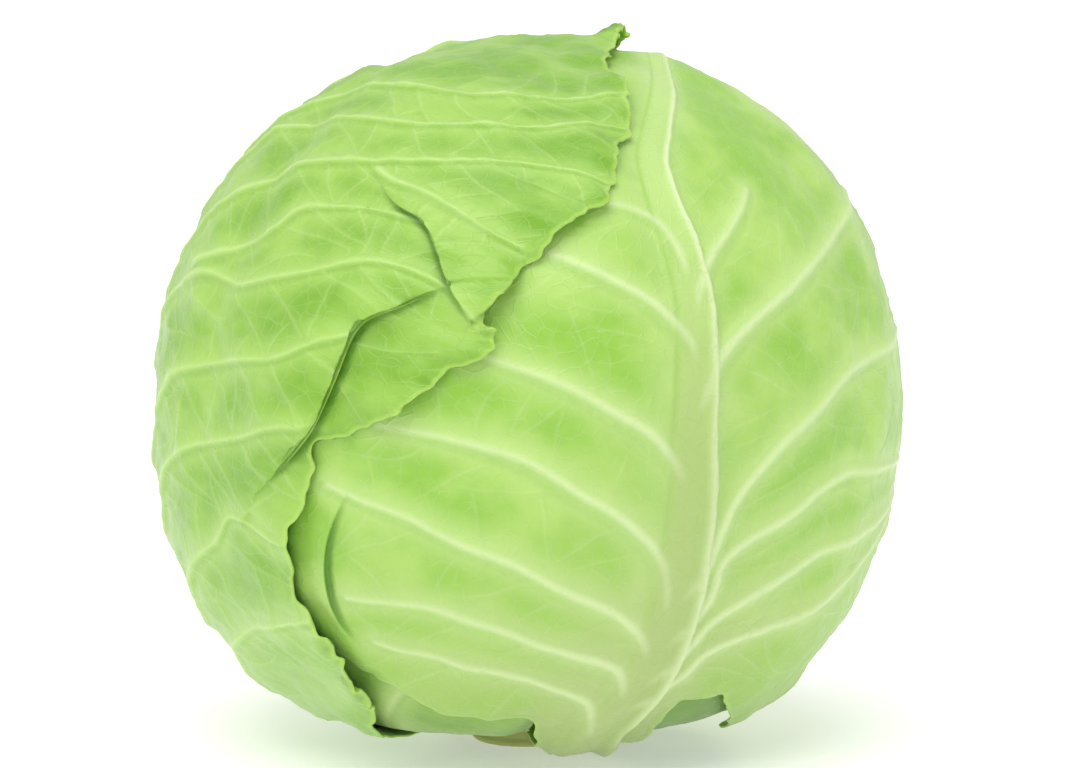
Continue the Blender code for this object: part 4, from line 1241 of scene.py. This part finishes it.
def heart_material():
    """Tight inner leaf: crisp and pale, greener in patches, cream down in the laps."""
    made, tree, shader = new_material("heart leaf, crisp and pale")
    place = add(tree, "ShaderNodeTexCoord", {}, {}).outputs["Object"]
    # Patches about 25 mm across, and a vein net of about 6 mm
    noise = {"Vector": place, "Scale": 40.0, "Detail": 3.0}
    patch = add(tree, "ShaderNodeTexNoise", {}, noise).outputs[0]
    edges = {"feature": "DISTANCE_TO_EDGE"}
    net = add(tree, "ShaderNodeTexVoronoi", edges, {"Vector": place, "Scale": 160.0}).outputs[0]
    greens = {0: patch, 6: colour("#C3D58A"), 7: colour("#93B552")}
    green = add(tree, "ShaderNodeMix", BLEND, greens).outputs[2]
    lap = add(tree, "ShaderNodeAttribute", {"attribute_name": "lap"}, {}).outputs["Fac"]
    creams = {0: lap, 6: green, 7: colour("#DDE2B2")}
    cream = add(tree, "ShaderNodeMix", BLEND, creams).outputs[2]
    relief = {"Strength": 0.4, "Distance": 0.0005, "Height": net}
    bump = add(tree, "ShaderNodeBump", {"invert": True}, relief).outputs[0]
    fill(tree, shader, {
        "Base Color": cream, "Roughness": 0.42, "IOR": 1.42, "Normal": bump,
        "Subsurface Weight": 0.3, "Subsurface Radius": (0.9, 1.0, 0.35),
        "Subsurface Scale": 0.003,
    })
    return made


heart_piece("heart_ball").data.materials.append(heart_material())

# %% [markdown]
# ## The cut stump
#
# The head is cut from its stalk with a knife just below the lowest leaves. The cut dries to a
# cream colour with a browner rim, and it shows a ring of wood fibres round a soft pith. The
# stump is turned from a profile, and the fibre ends are small domes set in rings on its cut
# face. They follow a rule, so Geometry Nodes place them.

# %% Stump
STUMP_RADIUS = 14.2
STUMP_SIDES = 96
# Share of the radius and height over the cut face in mm, from the middle of the cut to the top
CUT_PROFILE = [
    (0.2, 0.3), (0.4, 0.3), (0.6, 0.28), (0.78, 0.22), (0.88, 0.1), (0.93, 0.0), (0.965, 0.12),
    (0.985, 0.4), (1.0, 1.0),
]
SIDE_PROFILE = [(0.995, 1.5), (0.975, 2.0), (0.99, 2.4)]
# Radius, count and size of the fibres in each ring
FIBRE_RINGS = [(10.4, 44, 0.42), (8.7, 30, 0.34), (6.6, 17, 0.3)]
# Colours of the cut from its middle out, as shares of the radius, and the share where they end
RING_COLOURS = [
    (0.0, "#E6E3C6"), (0.45, "#DDDDB4"), (0.72, "#D6D092"), (0.86, "#CFC78C"), (0.98, "#A8955A"),
    (1.06, "#B5BC74"),
]
RING_SPAN = 1.1


def stump_piece(name):
    top = stump_top + seat
    corners, shares = [(0.0, 0.0, 0.3)], [0.0]
    profile = CUT_PROFILE + SIDE_PROFILE + [(1.0, top - 0.3), (0.98, top)]
    for share, height in profile:
        for number in range(STUMP_SIDES):
            turn = 2 * math.pi * number / STUMP_SIDES
            lobes = 0.012 * math.sin(5 * turn) + 0.01 * math.sin(3 * turn + 1)
            lobes += (0.006 * math.sin(23 * turn + 2) + 0.004 * math.sin(37 * turn)) * (height > 0.5)
            radius = STUMP_RADIUS * share * (1 + lobes) * 0.995
            corners.append((radius * math.cos(turn), radius * math.sin(turn), height))
            shares.append(share if height < 0.5 else 1.0)
    corners.append((0.0, 0.0, top))
    shares.append(0.0)
    faces = []
    for number in range(STUMP_SIDES):
        after = (number + 1) % STUMP_SIDES
        faces.append((0, 1 + after, 1 + number))
        for ring in range(len(profile) - 1):
            low, high = 1 + ring * STUMP_SIDES, 1 + (ring + 1) * STUMP_SIDES
            faces.append((low + number, low + after, high + after, high + number))
        last = 1 + (len(profile) - 1) * STUMP_SIDES
        faces.append((last + number, last + after, len(corners) - 1))
    mesh = bpy.data.meshes.new(name)
    mesh.from_pydata([tuple(c / 1000 for c in corner) for corner in corners], [], faces)
    mesh.attributes.new("out", "FLOAT", "POINT").data.foreach_set("value", shares)
    mesh.shade_smooth()
    piece = placed(name, mesh)
    return piece


def fibre_tree():
    """A ring of small domes: radius, count, size, height over the floor and seed are inputs."""
    tree = bpy.data.node_groups.new("ring of fibre ends", "GeometryNodeTree")
    face = tree.interface
    face.new_socket("Stump", in_out="INPUT", socket_type="NodeSocketGeometry")
    face.new_socket("Count", in_out="INPUT", socket_type="NodeSocketInt")
    face.new_socket("Seed", in_out="INPUT", socket_type="NodeSocketInt")
    for label in ("Ring Radius", "Fibre Size", "Height"):
        face.new_socket(label, in_out="INPUT", socket_type="NodeSocketFloat")
    face.new_socket("Fibre", in_out="INPUT", socket_type="NodeSocketMaterial")
    face.new_socket("Stump", in_out="OUTPUT", socket_type="NodeSocketGeometry")
    given = add(tree, "NodeGroupInput", {}, {}).outputs
    circle = {"Vertices": given["Count"], "Radius": given["Ring Radius"]}
    ring = add(tree, "GeometryNodeMeshCircle", {}, circle).outputs[0]
    reach = {"Min": (-0.0004, -0.0004, 0.0), "Max": (0.0004, 0.0004, 0.0), "Seed": given["Seed"]}
    jitter = add(tree, "FunctionNodeRandomValue", VECTORS, reach).outputs[0]
    lift = add(tree, "ShaderNodeCombineXYZ", {}, {"Z": given["Height"]}).outputs[0]
    place = {0: jitter, 1: lift}
    place = add(tree, "ShaderNodeVectorMath", {"operation": "ADD"}, place).outputs[0]
    shift = {"Geometry": ring, "Offset": place}
    moved = add(tree, "GeometryNodeSetPosition", {}, shift).outputs[0]
    ball = {"Radius": given["Fibre Size"], "Subdivisions": 2}
    dome = add(tree, "GeometryNodeMeshIcoSphere", {}, ball).outputs[0]
    faces = {"data_type": "BOOLEAN", "domain": "FACE"}
    marked = {"Geometry": dome, "Name": "fibre", "Value": True}
    dome = add(tree, "GeometryNodeStoreNamedAttribute", faces, marked).outputs[0]
    reach = {"Min": (0.6, 0.6, 0.3), "Max": (1.3, 1.3, 0.42), "Seed": given["Seed"]}
    flat = add(tree, "FunctionNodeRandomValue", VECTORS, reach).outputs[0]
    each = {"Points": moved, "Instance": dome, "Scale": flat}
    domes = add(tree, "GeometryNodeInstanceOnPoints", {}, each).outputs[0]
    both = add(tree, "GeometryNodeJoinGeometry", {}, {})
    tree.links.new(given["Stump"], both.inputs[0])
    tree.links.new(domes, both.inputs[0])
    real = add(tree, "GeometryNodeRealizeInstances", {}, {"Geometry": both.outputs[0]}).outputs[0]
    stored = {"Name": "fibre"}
    choice = {"data_type": "BOOLEAN"}
    fibre = add(tree, "GeometryNodeInputNamedAttribute", choice, stored).outputs[0]
    dress = {"Geometry": real, "Selection": fibre, "Material": given["Fibre"]}
    dressed = add(tree, "GeometryNodeSetMaterial", {}, dress).outputs[0]
    add(tree, "NodeGroupOutput", {}, {"Stump": dressed})
    return tree


def stem_material():
    """Cut stem: cream pith, a harder yellow ring, and a thin rim that has dried brown."""
    made, tree, shader = new_material("stem flesh, knife cut and dried")
    place = add(tree, "ShaderNodeTexCoord", {}, {}).outputs["Object"]
    out = add(tree, "ShaderNodeAttribute", {"attribute_name": "out"}, {}).outputs["Fac"]
    # Knife drag and drying stains about 3 mm across
    noise = {"Vector": place, "Scale": 300.0, "Detail": 4.0}
    stain = add(tree, "ShaderNodeTexNoise", {}, noise).outputs[0]
    shifted = add(tree, "ShaderNodeMath", TIMES_PLUS, {0: stain, 1: 0.16, 2: out}).outputs[0]
    over_all = {0: shifted, 1: RING_SPAN}
    scaled = add(tree, "ShaderNodeMath", {"operation": "DIVIDE"}, over_all).outputs[0]
    rings = add(tree, "ShaderNodeValToRGB", {}, {"Fac": scaled})
    while len(rings.color_ramp.elements) < len(RING_COLOURS):
        rings.color_ramp.elements.new(0.5)
    for element, (at, code) in zip(rings.color_ramp.elements, RING_COLOURS):
        element.position = at / RING_SPAN
        element.color = colour(code)
    relief = {"Strength": 0.5, "Distance": 0.0004, "Height": stain}
    bump = add(tree, "ShaderNodeBump", {}, relief).outputs[0]
    fill(tree, shader, {
        "Base Color": rings.outputs[0], "Roughness": 0.6, "Normal": bump,
        "Subsurface Weight": 0.3, "Subsurface Radius": (1.0, 0.8, 0.4), "Subsurface Scale": 0.003,
    })
    return made


def fibre_material():
    """Wood fibres that end in the cut, dull and dried."""
    made, tree, shader = new_material("wood fibre end, dried")
    place = add(tree, "ShaderNodeTexCoord", {}, {}).outputs["Object"]
    tint = add(tree, "ShaderNodeTexNoise", {}, {"Vector": place, "Scale": 900.0}).outputs[0]
    browns = {0: tint, 6: colour("#C9BE8B"), 7: colour("#9F8F58")}
    brown = add(tree, "ShaderNodeMix", BLEND, browns).outputs[2]
    fill(tree, shader, {"Base Color": brown, "Roughness": 0.7})
    return made


stump = stump_piece("cut_stump")
stump.data.materials.append(stem_material())
FIBRES = fibre_tree()
fibre_skin = fibre_material()
for seed, (ring, count, size) in enumerate(FIBRE_RINGS):
    baked(stump, FIBRES, {
        "Ring Radius": ring / 1000, "Count": count, "Fibre Size": size / 1000, "Seed": seed,
        "Height": 0.00026, "Fibre": fibre_skin,
    })
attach(stump, "root")
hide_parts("stump")
lowest = min(v.co.z for v in stump.data.vertices) * 1000
print("stump", len(stump.data.polygons), "faces, lowest point at", round(lowest, 2), "mm")

# %% [markdown]
# ## Floor, light and camera
#
# The head stands on a plain white floor, lit through from below. The light comes softly from
# all sides and more strongly from above, and the camera looks on from just above level.

# %% Floor
floor_mesh = bpy.data.meshes.new("studio_floor")
REACH = 40.0
corners = [(-REACH, -REACH, 0), (REACH, -REACH, 0), (REACH, REACH, 0), (-REACH, REACH, 0)]
floor_mesh.from_pydata(corners, [], [(0, 1, 2, 3)])
floor = placed("studio_floor", floor_mesh)
paper, paper_tree, paper_shader = new_material("white acrylic light table")
fill(paper_tree, paper_shader, {
    "Base Color": colour("#E8E8E8"), "Roughness": 0.9, "Emission Color": (1, 1, 1, 1),
    "Emission Strength": 0.36,
})
floor_mesh.materials.append(paper)

# %% Light
AMBIENT = 0.68
SUN_STRENGTH = 1.7
SUN_HEADING = Vector((0.12, 0.42, -1.0))
world = bpy.data.worlds.new("soft studio")
world.use_nodes = True
seen = add(world.node_tree, "ShaderNodeLightPath", {}, {}).outputs["Is Camera Ray"]
turned_to = {0: seen, 3: AMBIENT, 4: 1.0}
strength = add(world.node_tree, "ShaderNodeMapRange", {}, turned_to).outputs[0]
background = world.node_tree.nodes["Background"]
fill(world.node_tree, background, {"Strength": strength, "Color": (1, 1, 1, 1)})
bpy.context.scene.world = world
sun = bpy.data.lights.new("big_softbox", "SUN")
sun.energy = SUN_STRENGTH
sun.angle = math.radians(50)
lamp = placed("big_softbox", sun)
lamp.rotation_euler = SUN_HEADING.to_track_quat("-Z", "Y").to_euler()

# %% Camera
MM_PER_PIXEL = 0.2406
IMAGE_WIDTH = 1080
RIGHT_OF_MIDDLE = 2.65
ABOVE_MIDDLE = 1.92
tilt = math.radians(EYE_ELEVATION)
lens = bpy.data.cameras.new("camera")
lens.sensor_width = 36.0
lens.lens = 36.0 * EYE_DISTANCE / (MM_PER_PIXEL * IMAGE_WIDTH)
camera = placed("camera", lens)
up = Vector((0.0, math.sin(tilt), math.cos(tilt)))
aim = Vector((0.0, 0.0, seat)) + Vector((RIGHT_OF_MIDDLE, 0.0, 0.0)) + up * ABOVE_MIDDLE
away = Vector((0.0, -math.cos(tilt), math.sin(tilt)))
camera.location = (aim + away * EYE_DISTANCE) / 1000
camera.rotation_euler = (math.pi / 2 - tilt, 0.0, 0.0)
bpy.context.scene.camera = camera
bpy.context.scene.view_settings.view_transform = "Standard"
print("lens", round(lens.lens, 1), "mm")
